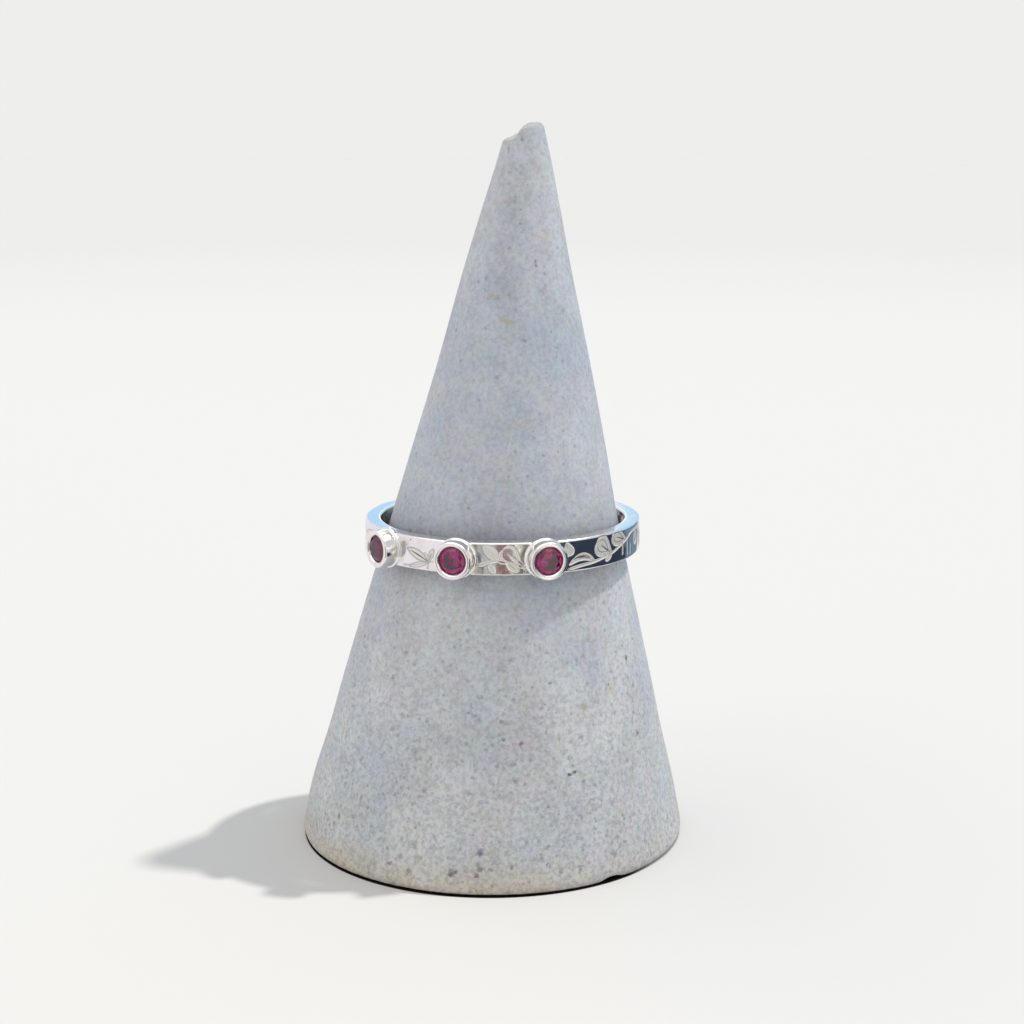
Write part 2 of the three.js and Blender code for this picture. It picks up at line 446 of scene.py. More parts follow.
def new_material(name: str) -> tuple[Any, Wiring, Any, Any]:
    """Make a material with a Principled shader and the Object coordinates.

    Args:
        name: the material's name.

    Returns:
        The material, its wiring, its shader and the coordinates' socket.
    """
    material = bpy.data.materials.new(name)
    material.use_nodes = True
    material.node_tree.nodes.clear()
    wiring = Wiring(material.node_tree)
    shader = wiring.add("ShaderNodeBsdfPrincipled")
    wiring.add("ShaderNodeOutputMaterial", {"Surface": shader.outputs[0]})
    place = wiring.add("ShaderNodeTexCoord").outputs["Object"]
    return material, wiring, shader, place


Colour = tuple[float, float, float, float]


@dataclass(frozen=True)
class SilverFinish:
    """Polished sterling silver, with fine scratches, soft wear and darkened engraving."""

    bright: Colour = (0.95, 0.94, 0.925, 1.0)
    toned: Colour = (0.86, 0.84, 0.81, 1.0)
    cut_wall: Colour = (0.87, 0.85, 0.81, 1.0)
    oxide: Colour = (0.045, 0.045, 0.05, 1.0)
    polished: float = 0.07
    worn: float = 0.19
    cut_roughness: float = 0.4
    cut_sheen: float = 0.55
    scratch_depth: float = 0.0018

    def make(self, effects: Effects) -> Any:
        """Build the material.

        Args:
            effects: the shared effects.

        Returns:
            The material.
        """
        material, wiring, shader, place = new_material("sterling_silver")
        cut = wiring.add("ShaderNodeAttribute", attribute_name="engraved").outputs["Fac"]
        black = wiring.add("ShaderNodeAttribute", attribute_name="blackened").outputs["Fac"]
        clouds = {"Place": place, "Scale": 900.0, "Roughness": 0.6, "Low": 0.42, "High": 0.68}
        wear = wiring.group(effects.clouds, clouds)
        along = {"Place": place, "Stretch": (0.12, 0.12, 1.0), "Scale": 5200.0, "Width": 0.035}
        across = {"Place": place, "Stretch": (1.0, 1.0, 0.1), "Scale": 3600.0, "Width": 0.02}
        scratches = wiring.sum(
            "MAXIMUM", wiring.group(effects.strokes, along), wiring.group(effects.strokes, across)
        )
        tone = wiring.blend(wiring.sum("MULTIPLY", wear, 0.6), self.bright, self.toned)
        colour = wiring.blend(wiring.rise(cut, 0.1, 0.8), tone, self.cut_wall)
        colour = wiring.blend(wiring.rise(black, 0.05, 0.95, 0.0, 0.94), colour, self.oxide)
        rough = wiring.rise(wear, 0.0, 1.0, self.polished, self.worn)
        rough = wiring.sum("ADD", rough, wiring.sum("MULTIPLY", cut, self.cut_roughness))
        height = wiring.sum("MULTIPLY", scratches, -1.0)
        bump = {"Height": height, "Strength": 0.35, "Distance": self.scratch_depth * MM}
        normal = wiring.add("ShaderNodeBump", bump).outputs[0]
        metal = wiring.rise(cut, 0.1, 0.8, 1.0, self.cut_sheen)
        sockets = {"Base Color": colour, "Metallic": metal, "Roughness": rough, "Normal": normal}
        wiring.connect(shader, sockets)
        return material


@dataclass(frozen=True)
class RubyFinish:
    """A clear, deep pinkish red stone with slight clouds inside."""

    deep: Colour = (0.30, 0.003, 0.095, 1.0)
    pink: Colour = (0.57, 0.02, 0.25, 1.0)
    refraction: float = 1.77

    def make(self, effects: Effects) -> Any:
        """Build the material.

        Args:
            effects: the shared effects.

        Returns:
            The material.
        """
        material, wiring, shader, place = new_material("ruby")
        clouds = {"Place": place, "Scale": 1500.0, "Roughness": 0.5, "Low": 0.35, "High": 0.65}
        cloud = wiring.group(effects.clouds, clouds)
        colour = wiring.blend(cloud, self.deep, self.pink)
        sockets = {
            "Base Color": colour,
            "Roughness": 0.01,
            "IOR": self.refraction,
            "Transmission Weight": 0.91,
        }
        wiring.connect(shader, sockets)
        return material


@dataclass(frozen=True)
class Blemish:
    """A coloured spot on the cone: its height, its angle, its length along the cone and its breadth."""

    height: float
    angle: float
    length: float
    breadth: float
    colour: Colour
    strength: float = 0.8


@dataclass(frozen=True)
class CloudLayer:
    """A cloudy layer of colour: its noise's scale and roughness, and from where to where it comes in."""

    colour: Colour
    scale: float
    roughness: float
    low: float
    high: float
    strength: float
    upright: bool = False


@dataclass(frozen=True)
class SpeckLayer:
    """A layer of specks: their scale and size, and how many cells have one, high up, low and at the foot."""

    colour: Colour
    scale: float
    size: float
    high_up: float
    low_down: float
    strength: float
    at_foot: float = 0.0


INK: Colour = (0.07, 0.07, 0.085, 1.0)
SLATE: Colour = (0.17, 0.18, 0.21, 1.0)
UMBER: Colour = (0.23, 0.15, 0.11, 1.0)
OLIVE: Colour = (0.36, 0.34, 0.22, 1.0)
COBALT: Colour = (0.13, 0.17, 0.30, 1.0)
OCHRE: Colour = (0.48, 0.41, 0.20, 1.0)
SPECK: Colour = (0.21, 0.215, 0.235, 1.0)


@dataclass(frozen=True)
class StonewareFinish:
    """Unglazed pale grey stoneware: clouded, finely speckled, beige at the foot and on the broken tip."""

    pale: Colour = (0.585, 0.60, 0.60, 1.0)
    clouds: tuple[CloudLayer, ...] = (
        CloudLayer((0.465, 0.50, 0.535, 1.0), 150.0, 0.55, 0.36, 0.66, 0.9),
        CloudLayer((0.505, 0.49, 0.492, 1.0), 230.0, 0.6, 0.45, 0.74, 0.75, upright=True),
        CloudLayer((0.50, 0.51, 0.465, 1.0), 340.0, 0.6, 0.5, 0.72, 0.55),
        CloudLayer((0.60, 0.545, 0.46, 1.0), 470.0, 0.6, 0.53, 0.78, 0.3),
    )
    smudges: CloudLayer = CloudLayer((0.40, 0.415, 0.43, 1.0), 520.0, 0.65, 0.46, 0.7, 0.5, upright=True)
    stain: CloudLayer = CloudLayer((0.55, 0.49, 0.395, 1.0), 190.0, 0.6, 0.22, 0.52, 0.9)
    broken: CloudLayer = CloudLayer((0.53, 0.465, 0.38, 1.0), 1300.0, 0.7, 0.25, 0.75, 0.6)
    fine_specks: SpeckLayer = SpeckLayer(SPECK, 2300.0, 0.38, 0.16, 0.68, 0.42, at_foot=0.5)
    specks: SpeckLayer = SpeckLayer(SPECK, 1250.0, 0.27, 0.05, 0.34, 0.5)
    pits: SpeckLayer = SpeckLayer(SPECK, 620.0, 0.17, 0.03, 0.15, 0.45)
    freckles: SpeckLayer = SpeckLayer((0.34, 0.30, 0.25, 1.0), 560.0, 0.17, 0.14, 0.14, 0.4)
    flecks: SpeckLayer = SpeckLayer(SPECK, 1000.0, 0.34, 0.0, 0.0, 0.7, at_foot=0.62)
    rubbed: Colour = (0.68, 0.68, 0.68, 1.0)
    rubbed_strength: float = 0.25
    cool: Colour = (0.945, 0.975, 1.05, 1.0)
    warm: Colour = (1.0, 1.01, 1.03, 1.0)
    hue_strength: float = 0.05
    mottle: tuple[float, float] = (1.13, 0.8)
    roughness: tuple[float, float] = (0.92, 0.8)
    grain_depth: float = 0.03
    blemishes: tuple[Blemish, ...] = (
        Blemish(52.9, -6.0, 0.24, 0.2, SLATE, 0.6),
        Blemish(44.1, 19.0, 1.3, 0.09, SLATE, 0.8),
        Blemish(40.0, -8.0, 0.22, 0.72, OCHRE, 0.8),
        Blemish(30.5, 20.0, 0.22, 0.2, SLATE, 0.5),
        Blemish(16.1, 35.0, 0.28, 0.26, OLIVE, 0.7),
        Blemish(15.4, 41.0, 0.2, 0.17, COBALT, 0.75),
        Blemish(15.1, 59.0, 0.3, 0.2, INK, 0.85),
        Blemish(15.4, -24.0, 0.25, 0.2, SLATE, 0.5),
        Blemish(14.6, 20.0, 0.2, 0.17, SLATE, 0.7),
        Blemish(14.4, 13.0, 0.2, 0.2, SLATE, 0.65),
        Blemish(13.8, 11.0, 0.22, 0.28, OLIVE, 0.5),
        Blemish(13.3, 47.0, 0.75, 0.5, OCHRE, 0.35),
        Blemish(13.75, 45.5, 0.2, 0.18, SLATE, 0.8),
        Blemish(12.6, 33.0, 0.42, 0.36, OLIVE, 0.7),
        Blemish(12.5, -7.0, 0.22, 0.2, SLATE, 0.5),
        Blemish(12.9, 16.0, 0.24, 0.34, SLATE, 0.5),
        Blemish(12.1, 2.0, 0.16, 0.2, SLATE, 0.65),
        Blemish(11.6, 10.0, 0.14, 0.3, OCHRE, 0.65),
        Blemish(10.9, 3.0, 0.18, 0.2, SLATE, 0.7),
        Blemish(10.5, 9.0, 0.3, 0.19, UMBER, 0.85),
        Blemish(10.7, 22.0, 0.36, 0.14, OLIVE, 0.9),
        Blemish(9.6, 58.0, 0.3, 0.24, INK, 0.75),
        Blemish(8.2, 27.0, 0.16, 0.27, INK, 0.95),
        Blemish(8.05, 25.2, 0.17, 0.3, INK, 0.95),
        Blemish(8.0, 7.0, 0.28, 0.32, SLATE, 0.6),
        Blemish(7.4, 30.0, 0.22, 0.22, COBALT, 0.55),
        Blemish(7.1, 11.0, 0.2, 0.24, OCHRE, 0.5),
        Blemish(6.3, -36.0, 0.2, 0.2, SLATE, 0.6),
        Blemish(5.6, -45.0, 0.3, 0.2, SLATE, 0.7),
        Blemish(5.1, -41.0, 0.26, 0.26, SLATE, 0.6),
        Blemish(3.7, -53.0, 0.3, 0.3, SLATE, 0.6),
        Blemish(3.0, -55.0, 0.32, 0.26, SLATE, 0.55),
        Blemish(3.1, -3.0, 0.36, 0.36, COBALT, 0.95),
        Blemish(2.1, 6.0, 0.26, 0.24, INK, 0.6),
        Blemish(1.5, -11.0, 0.26, 0.3, INK, 0.7),
        Blemish(1.75, -9.5, 0.2, 0.2, INK, 0.6),
        Blemish(1.5, -4.0, 0.26, 0.26, INK, 0.65),
        Blemish(1.7, -30.0, 0.2, 0.26, SLATE, 0.75),
        Blemish(6.5, 150.0, 0.4, 0.3, OLIVE, 0.6),
        Blemish(9.0, 118.0, 0.25, 0.2, INK, 0.75),
        Blemish(17.5, 200.0, 0.3, 0.25, SLATE, 0.7),
        Blemish(31.0, 230.0, 0.5, 0.3, OCHRE, 0.5),
        Blemish(38.5, 140.0, 0.2, 0.2, SLATE, 0.7),
        Blemish(4.2, 262.0, 0.25, 0.3, UMBER, 0.7),
    )

    def make(self, effects: Effects, cone: "RingCone") -> Any:
        """Build the material.

        Args:
            effects: the shared effects.
            cone: the cone, which says where each blemish lies.

        Returns:
            The material.
        """
        material, wiring, shader, place = new_material("speckled_stoneware")
        parts = wiring.add("ShaderNodeSeparateXYZ", {0: place}).outputs
        height, aside = parts["Z"], parts["X"]
        low_down = wiring.rise(height, 1.0 * MM, 30.0 * MM, 1.0, 0.0)
        stretched = wiring.vector("MULTIPLY", place, (1.0, 1.0, 0.3)).outputs[0]

        def cloud(layer: CloudLayer, where: Any = 1.0) -> Any:
            """Work out where a cloudy layer lies.

            Args:
                layer: the layer.
                where: a mask that it keeps to.

            Returns:
                The mask's socket.
            """
            sockets = {"Place": stretched if layer.upright else place, "Scale": layer.scale}
            sockets |= {"Roughness": layer.roughness, "Low": layer.low, "High": layer.high}
            return wiring.sum("MULTIPLY", where, wiring.group(effects.clouds, sockets))

        def specks(layer: SpeckLayer, share: Any) -> Any:
            """Place the shared specks with a layer's values."""
            sockets = {"Place": place, "Scale": layer.scale, "Share": share, "Size": layer.size}
            return wiring.group(effects.specks, sockets)

        def paint(under: Any, over: Any, mask: Any, strength: float) -> Any:
            """Lay one colour over another where a mask shows it."""
            return wiring.blend(wiring.sum("MULTIPLY", mask, strength), under, over)

        colour = self.pale
        for layer in self.clouds:
            colour = paint(colour, layer.colour, cloud(layer), layer.strength)
        high_up = wiring.rise(height, 26.0 * MM, 44.0 * MM)
        colour = paint(colour, self.smudges.colour, cloud(self.smudges, high_up), self.smudges.strength)
        tint = wiring.blend(low_down, self.cool, self.warm)
        colour = wiring.blend(1.0, colour, tint, "MULTIPLY")
        hues = wiring.add("ShaderNodeTexNoise", {"Vector": place, "Scale": 1100.0, "Detail": 3.0})
        colour = wiring.blend(self.hue_strength, colour, hues.outputs["Color"], "LINEAR_LIGHT")
        near_foot = wiring.rise(height, 0.3 * MM, 3.0 * MM, 1.0, 0.0)
        leftward = wiring.rise(aside, 1.0 * MM, 9.0 * MM, 1.0, 0.3)
        stained = cloud(self.stain, wiring.sum("MULTIPLY", near_foot, leftward))
        colour = paint(colour, self.stain.colour, stained, self.stain.strength)
        fine_clouds = {"Place": place, "Scale": 2900.0, "Roughness": 0.72, "Low": 0.3, "High": 0.74}
        mottle = wiring.rise(wiring.group(effects.clouds, fine_clouds), 0.0, 1.0, *self.mottle)
        grey = wiring.add("ShaderNodeCombineColor", {0: mottle, 1: mottle, 2: mottle}).outputs[0]
        colour = wiring.blend(wiring.rise(low_down, 0.0, 1.0, 0.62, 1.0), colour, grey, "MULTIPLY")
        masks = {}
        for layer in (self.fine_specks, self.specks, self.pits, self.freckles):
            share = wiring.rise(low_down, 0.0, 1.0, layer.high_up, layer.low_down)
            if layer.at_foot:
                at_foot = wiring.rise(height, 0.5 * MM, 6.0 * MM, layer.at_foot, 0.0)
                share = wiring.sum("ADD", at_foot, share)
            masks[layer] = specks(layer, share)
            colour = paint(colour, layer.colour, masks[layer], layer.strength)
        in_front = wiring.rise(wiring.sum("ABSOLUTE", aside), 6.0 * MM, 13.0 * MM, 1.0, 0.0)
        at_foot = wiring.rise(height, 0.7 * MM, 4.0 * MM, self.flecks.at_foot, 0.0)
        flecked = specks(self.flecks, wiring.sum("MULTIPLY", in_front, at_foot))
        colour = paint(colour, self.flecks.colour, flecked, self.flecks.strength)
        strokes = {"Place": place, "Stretch": (1.0, 0.6, 1.0), "Scale": 240.0, "Width": 0.009}
        colour = paint(colour, self.rubbed, wiring.group(effects.strokes, strokes), self.rubbed_strength)
        ragged = Effects.shaken(wiring, place, 3200.0, 0.6)
        for blemish in self.blemishes:
            centre = cone.surface_point(blemish.height, blemish.angle)
            breadth, length = blemish.breadth * MM, blemish.length * MM
            oval = {"Place": ragged, "Centre": centre, "Size": (breadth, breadth, length)}
            colour = paint(colour, blemish.colour, wiring.group(effects.spot, oval), blemish.strength)
        torn = wiring.add("ShaderNodeAttribute", attribute_name="broken").outputs["Fac"]
        colour = paint(colour, self.broken.colour, cloud(self.broken, torn), self.broken.strength)
        rough = wiring.rise(mottle, *sorted(self.mottle), *self.roughness)
        normal = self.grain(effects, wiring, place, masks[self.pits])
        sockets = {"Base Color": colour, "Roughness": rough, "Normal": normal, "Specular IOR Level": 0.35}
        wiring.connect(shader, sockets)
        return material

    def grain(self, effects: Effects, wiring: Wiring, place: Any, pitted: Any) -> Any:
        """Work out the clay's fine relief: a grain, less the pits, on slight swells.

        Args:
            effects: the shared effects.
            wiring: the wiring of the material.
            place: the coordinates' socket.
            pitted: the mask of the pits.

        Returns:
            The normal's socket.
        """
        noise = {"Vector": place, "Scale": 5200.0, "Detail": 5.0, "Roughness": 0.65}
        grain = wiring.add("ShaderNodeTexNoise", noise).outputs["Fac"]
        relief = wiring.sum("SUBTRACT", grain, wiring.sum("MULTIPLY", pitted, 0.5))
        clouds = {"Place": place, "Scale": 1300.0, "Roughness": 0.6, "Low": 0.2, "High": 0.8}
        swells = wiring.sum("MULTIPLY", wiring.group(effects.clouds, clouds), 0.7)
        bump = {"Height": wiring.sum("ADD", relief, swells), "Strength": 0.5}
        return wiring.add("ShaderNodeBump", bump | {"Distance": self.grain_depth * MM}).outputs[0]


class LeafForm(Enum):
    """The outline of an engraved leaf."""

    DROP = "drop"
    ALMOND = "almond"


@dataclass(frozen=True)
class Stroke:
    """One cut of the graver along a line of [arc, height] points, deepest in its middle."""

    points: np.ndarray
    width: float
    depth: float
    run_out: float = 0.25
    black: float = 0.0

    def cut_at(self, arcs: np.ndarray, heights: np.ndarray) -> np.ndarray:
        """Work out the cut: a V that is as wide as the line, and runs out towards both ends.

        The distance to each straight part of the line is taken at once, and the nearest part counts.

        Args:
            arcs: the places' arcs, in a grid.
            heights: the places' heights, in the same grid.

        Returns:
            Three grids: the depth, how satin the silver is, and how black it is.
        """
        start, end = self.points[:-1], self.points[1:]
        step = end - start
        place = np.stack((arcs, heights), axis=-1)[..., None, :]
        away = place - start
        share = np.clip((away * step).sum(-1) / np.maximum((step * step).sum(-1), 1e-9), 0.0, 1.0)
        distance = np.linalg.norm(away - share[..., None] * step, axis=-1)
        nearest = distance.argmin(-1)[..., None]
        along = (nearest + np.take_along_axis(share, nearest, -1))[..., 0] / len(step)
        near = np.take_along_axis(distance, nearest, -1)[..., 0]
        swell = np.sqrt(np.clip(np.minimum(along, 1.0 - along) / self.run_out, 0.02, 1.0))
        vee = np.clip(1.0 - near / (0.5 * self.width * swell), 0.0, 1.0)
        return np.stack((self.depth * swell * vee, np.clip(2.5 * vee, 0.0, 1.0), self.black * vee))


@dataclass(frozen=True)
class Leaf:
    """An engraved leaf: its root, the way it points from the band's length, and its size."""

    angle: float
    height: float
    turn: float
    length: float
    width: float
    form: LeafForm = LeafForm.DROP
    bend: float = 0.0
    vein: float = 0.6
    inner: float = 0.0
    black: float = 1.0
    rim_black: float = 0.0
    satin: float = 1.0

    def half_breadth(self, along: np.ndarray) -> np.ndarray:
        """Work out half the leaf's breadth at shares of its length, as a share of its width.

        A drop is pointed at its root and round at its end: the root of the share times the rest of the
        length, times the share to the power of three quarters. An almond is a parabola.

        Args:
            along: the shares of the length.

        Returns:
            The half breadths.
        """
        share = np.clip(along, 0.0, 1.0)
        if self.form is LeafForm.ALMOND:
            return 2.0 * share * (1.0 - share)
        return 1.107 * 2.0 * np.sqrt(share * (1.0 - share)) * share**0.75

    def floor_at(self, arcs: np.ndarray, heights: np.ndarray, radius: float) -> np.ndarray:
        """Work out the leaf's floor: a very shallow satin dish inside its outline.

        Args:
            arcs: the places' arcs, in a grid.
            heights: the places' heights, in the same grid.
            radius: the band's outer radius.

        Returns:
            Three grids: the depth, how satin the silver is, and how black it is.
        """
        turn = math.radians(self.turn)
        aside, above = arcs - math.radians(self.angle) * radius, heights - self.height
        along = (aside * math.cos(turn) + above * math.sin(turn)) / self.length
        across = above * math.cos(turn) - aside * math.sin(turn) - self.bend * 4.0 * along * (1.0 - along)
        inside = smooth_step(-0.03, 0.03, self.half_breadth(along) * self.width - np.abs(across))
        inside = inside * smooth_step(0.0, 0.1, along) * smooth_step(0.0, 0.02, 1.0 - along)
        return np.stack((0.02 * inside, self.satin * inside, np.zeros_like(inside)))

    def middle(self, last: float) -> np.ndarray:
        """Draw the leaf's middle line in its own directions, from its root to a share of its length."""
        share = np.linspace(0.04, last, 12)
        return np.stack((share * self.length, self.bend * 4.0 * share * (1.0 - share)), axis=-1)

    def outline(self, spread: float, first: float, last: float) -> np.ndarray:
        """Draw a part of the leaf's outline in its own directions, along and across.

        The line goes along one side to the leaf's end and back along the other. A bend lifts the middle.

        Args:
            spread: how far out from the leaf's middle line, as a share of its own width.
            first: where on the outline the line starts, from 0 at the root to 1 at the root again.
            last: where it ends.

        Returns:
            The line's points.
        """
        turn = 2.0 * np.pi * np.linspace(first, last, 25)
        along = 0.5 * (1.0 - np.cos(turn))
        across = np.sign(np.sin(turn)) * self.half_breadth(along)
        inset = 0.5 * (1.0 - spread)
        along = inset + along * (1.0 - 1.6 * inset)
        lifted = self.bend * 4.0 * along * (1.0 - along)
        return np.stack((along * self.length, across * spread * self.width + lifted), axis=-1)

    def place(self, local: np.ndarray, radius: float) -> np.ndarray:
        """Turn a line of the leaf into its place on the band.

        Args:
            local: points along and across the leaf.
            radius: the band's outer radius.

        Returns:
            Points of arc and height.
        """
        turn = math.radians(self.turn)
        arcs = math.radians(self.angle) * radius + local[:, 0] * math.cos(turn) - local[:, 1] * math.sin(turn)
        heights = self.height + local[:, 0] * math.sin(turn) + local[:, 1] * math.cos(turn)
        return np.stack((arcs, heights), axis=-1)

    def strokes(self, radius: float) -> list[Stroke]:
        """Draw the leaf's strokes.

        Args:
            radius: the band's outer radius.

        Returns:
            Its outline, an inner line if it has one, and its vein.
        """
        bold = min(0.22, 0.1 + 0.18 * self.width)
        lines = [(1.0, 0.0, 0.5, bold, self.rim_black), (1.0, 1.0, 0.5, bold, self.rim_black)]
        if self.inner:
            lines += [(self.inner, 0.05, 0.49, 0.13, 0.85), (self.inner, 0.95, 0.51, 0.13, 0.85)]
        cuts = [
            Stroke(self.place(self.outline(spread, first, last), radius), width, 0.4 * width, 0.2, black)
            for spread, first, last, width, black in lines
        ]
        if self.vein:
            cuts.append(Stroke(self.place(self.middle(self.vein), radius), 0.21, 0.09, 0.4, self.black))
        return cuts


@dataclass
class Vine:
    """The engraved vine: listed sprigs between and beside the stones, and a running stem behind."""

    radius: float
    half_width: float
    waves: int = 5
    middle: float = 60.0
    rise: float = 0.65
    back_start: float = 77.0
    bare_stem: float = 12.0
    back_end: float = 298.0
    pairs: int = 30
    first_leaf: float = 2.0
    leaf_length: float = 1.35
    leaf_width: float = 0.75
    steepest: float = 60.0
    margin: float = 0.26
    smallest: float = 0.5
    sprigs: tuple[Leaf, ...] = (
        Leaf(-30.5, -0.5, 158.0, 2.15, 0.66, LeafForm.ALMOND, -0.05, 0.85, 0.0, 1.0, 0.55),
        Leaf(-30.5, -0.55, 195.0, 1.9, 0.36, LeafForm.ALMOND, 0.0, 0.0, 0.0, 0.0, 0.5),
        Leaf(-30.3, -0.5, 66.0, 1.15, 0.36, LeafForm.ALMOND, 0.05, 0.7, 0.0, 0.6, 0.45),
        Leaf(-30.3, -0.5, 118.0, 0.8, 0.28, LeafForm.ALMOND, 0.0, 0.0, 0.0, 0.0, 0.5),
        Leaf(-7.2, 0.98, -46.0, 1.45, 0.58, LeafForm.ALMOND, 0.06, 0.0),
        Leaf(7.4, -0.5, 136.0, 1.75, 0.72, LeafForm.DROP, 0.0, 0.75, 0.0, 0.0, 0.0, 0.15),
        Leaf(2.2, -0.3, -38.0, 0.95, 0.36, LeafForm.ALMOND, 0.0, 0.8, 0.0, 0.5),
        Leaf(-5.0, -0.35, -62.0, 0.75, 0.3, LeafForm.ALMOND, 0.0, 0.0),
        Leaf(26.2, 1.0, -76.0, 1.0, 0.46, LeafForm.DROP, 0.0, 0.6, 0.0, 0.4),
        Leaf(27.4, -0.66, 0.0, 2.3, 0.4, LeafForm.ALMOND, 0.5, 0.0, 0.4),
        Leaf(50.0, -0.33, 148.0, 1.95, 0.92, LeafForm.DROP, 0.0, 0.75, 0.62),
        Leaf(50.0, -0.35, 212.0, 0.85, 0.34, LeafForm.ALMOND, 0.0, 0.6, 0.0, 0.6),
        Leaf(61.2, 0.3, 163.0, 2.1, 0.72, LeafForm.DROP, 0.0, 0.75, 0.62, 0.9),
        Leaf(71.5, -0.42, 84.0, 1.3, 0.78, LeafForm.ALMOND, -0.05, 0.8, 0.6, 0.8),
        Leaf(80.0, 0.55, -100.0, 1.35, 0.6, LeafForm.ALMOND, 0.0, 0.75, 0.55),
        Leaf(87.5, 0.6, -118.0, 1.5, 0.72, LeafForm.DROP, 0.0, 0.7, 0.58),
    )
    stems: tuple[tuple[tuple[float, float], ...], ...] = (
        ((26.5, -1.0), (33.0, -0.8), (39.0, -0.68), (45.0, -0.5), (50.0, -0.32), (55.5, 0.02),
         (61.2, 0.35), (66.0, 0.72), (71.0, 0.8), (77.0, 0.75)),
        ((-9.5, -0.48), (-6.0, -0.26), (-2.5, -0.1), (2.0, -0.24), (7.4, -0.5), (10.0, -0.62)),
        ((-44.0, -0.98), (-37.0, -0.85), (-30.5, -0.52), (-26.0, -0.38), (-23.0, -0.45)),
        ((-30.4, -0.5), (-30.8, -1.05)),
        ((58.0, 0.2), (58.1, -0.75)),
        ((62.4, 0.3), (62.5, -0.9)),
        ((66.0, -0.1), (65.7, -0.95)),
    )
    marks: tuple[tuple[tuple[float, float], ...], ...] = (
        ((6.2, -0.12), (7.1, -0.22), (8.4, -0.5)),
        ((6.6, -0.42), (7.6, -0.62)),
        ((29.3, -0.3), (32.5, -0.14), (36.0, -0.22)),
        ((-1.5, -0.14), (1.4, -0.26)),
        ((-39.5, 0.98), (-39.0, 0.94)),
    )
    stem_width: float = 0.25
    stem_depth: float = 0.07
    dark_line: tuple[float, float, float] = (0.1, 0.09, 0.55)
    mark: tuple[float, float, float, float] = (0.2, 0.1, 0.4, 1.0)

    def wave(self, angle: np.ndarray) -> np.ndarray:
        """Work out the running stem's height: a sine with a whole number of waves round the band."""
        return self.rise * self.half_width * np.sin(self.waves * np.radians(angle - self.middle))

    def arc_points(self, points: np.ndarray) -> np.ndarray:
        """Turn angles and heights into arcs and heights."""
        return np.stack((np.radians(points[:, 0]) * self.radius, points[:, 1]), axis=-1)

    def back_leaves(self) -> list[Leaf]:
        """Place pairs of leaves along the running stem, smaller where it runs near the band's edge.

        Returns:
            The leaves, which lean back along the stem.
        """
        leaves = []
        longest = self.leaf_length * math.sin(math.radians(self.steepest))
        for place in range(self.pairs):
            angle = self.middle + self.first_leaf + place * 360.0 / self.pairs
            if not self.back_start + self.bare_stem < angle < self.back_end:
                continue
            root = float(self.wave(np.array(angle)))
            for side in (1.0, -1.0):
                room = self.half_width - self.margin - side * root
                size = min(room / longest, 1.0)
                if size >= self.smallest:
                    turn = 180.0 - side * self.steepest
                    form = LeafForm.DROP if place % 3 else LeafForm.ALMOND
                    leaves.append(
                        Leaf(angle, root, turn, self.leaf_length * size, self.leaf_width * size, form, 0.0,
                             0.62, 0.55 if size > 0.9 else 0.0)
                    )
        return leaves

    def routes(self) -> list[np.ndarray]:
        """List the stems' lines: the running stem behind, and a smooth curve through each sprig's points.

        Returns:
            The lines, as rows of arc and height.
        """
        angle = np.linspace(self.back_start - 2.0, self.back_end, 160)
        found = [self.arc_points(np.stack((angle, self.wave(angle)), axis=-1))]
        for stem in self.stems:
            points = self.arc_points(np.array(stem))
            steps = np.arange(len(points))
            fine = np.linspace(0.0, len(points) - 1.0, 6 * len(points))
            columns = [smooth_through(steps, points[:, column], fine) for column in (0, 1)]
            found.append(np.stack(columns, axis=-1))
        return found

    def strokes(self) -> list[Stroke]:
        """Draw the lines of the vine.

        Returns:
            Every stroke of the graver: the stems with a fine dark line in each, the leaves, and some marks.
        """
        cuts = []
        for route in self.routes():
            run_out = min(0.12, 2.0 / len(route))
            cuts.append(Stroke(route, self.stem_width, self.stem_depth, run_out))
            width, depth, black = self.dark_line
            cuts.append(Stroke(route, width, depth, run_out, black))
        for leaf in (*self.sprigs, *self.back_leaves()):
            cuts.extend(leaf.strokes(self.radius))
        cuts.extend(Stroke(self.arc_points(np.array(points)), *self.mark) for points in self.marks)
        return cuts

    def engraving(self, arcs: np.ndarray, heights: np.ndarray) -> np.ndarray:
        """Work out the engraving at a grid of places on the band.

        Each stroke and leaf is worked out only for the part of the grid that it reaches, and the greatest
        value counts.

        Args:
            arcs: the grid's arcs, one for each column.
            heights: its heights, one for each row.

        Returns:
            Three grids, with a row for each height: the depth, how satin the silver is, and how black it is.
        """
        grids = np.zeros((3, len(heights), len(arcs)))
        work = [(stroke.points, stroke.cut_at) for stroke in self.strokes()]
        for leaf in (*self.sprigs, *self.back_leaves()):
            rim = leaf.place(leaf.outline(1.0, 0.0, 1.0), self.radius)
            work.append((rim, partial(leaf.floor_at, radius=self.radius)))
        for points, values in work:
            low, high = points.min(axis=0) - 0.3, points.max(axis=0) + 0.3
            across = slice(*np.searchsorted(arcs, (low[0], high[0])))
            along = slice(*np.searchsorted(heights, (low[1], high[1])))
            part = grids[:, along, across]
            if part.size:
                np.maximum(part, values(*np.meshgrid(arcs[across], heights[along])), out=part)
        return grids


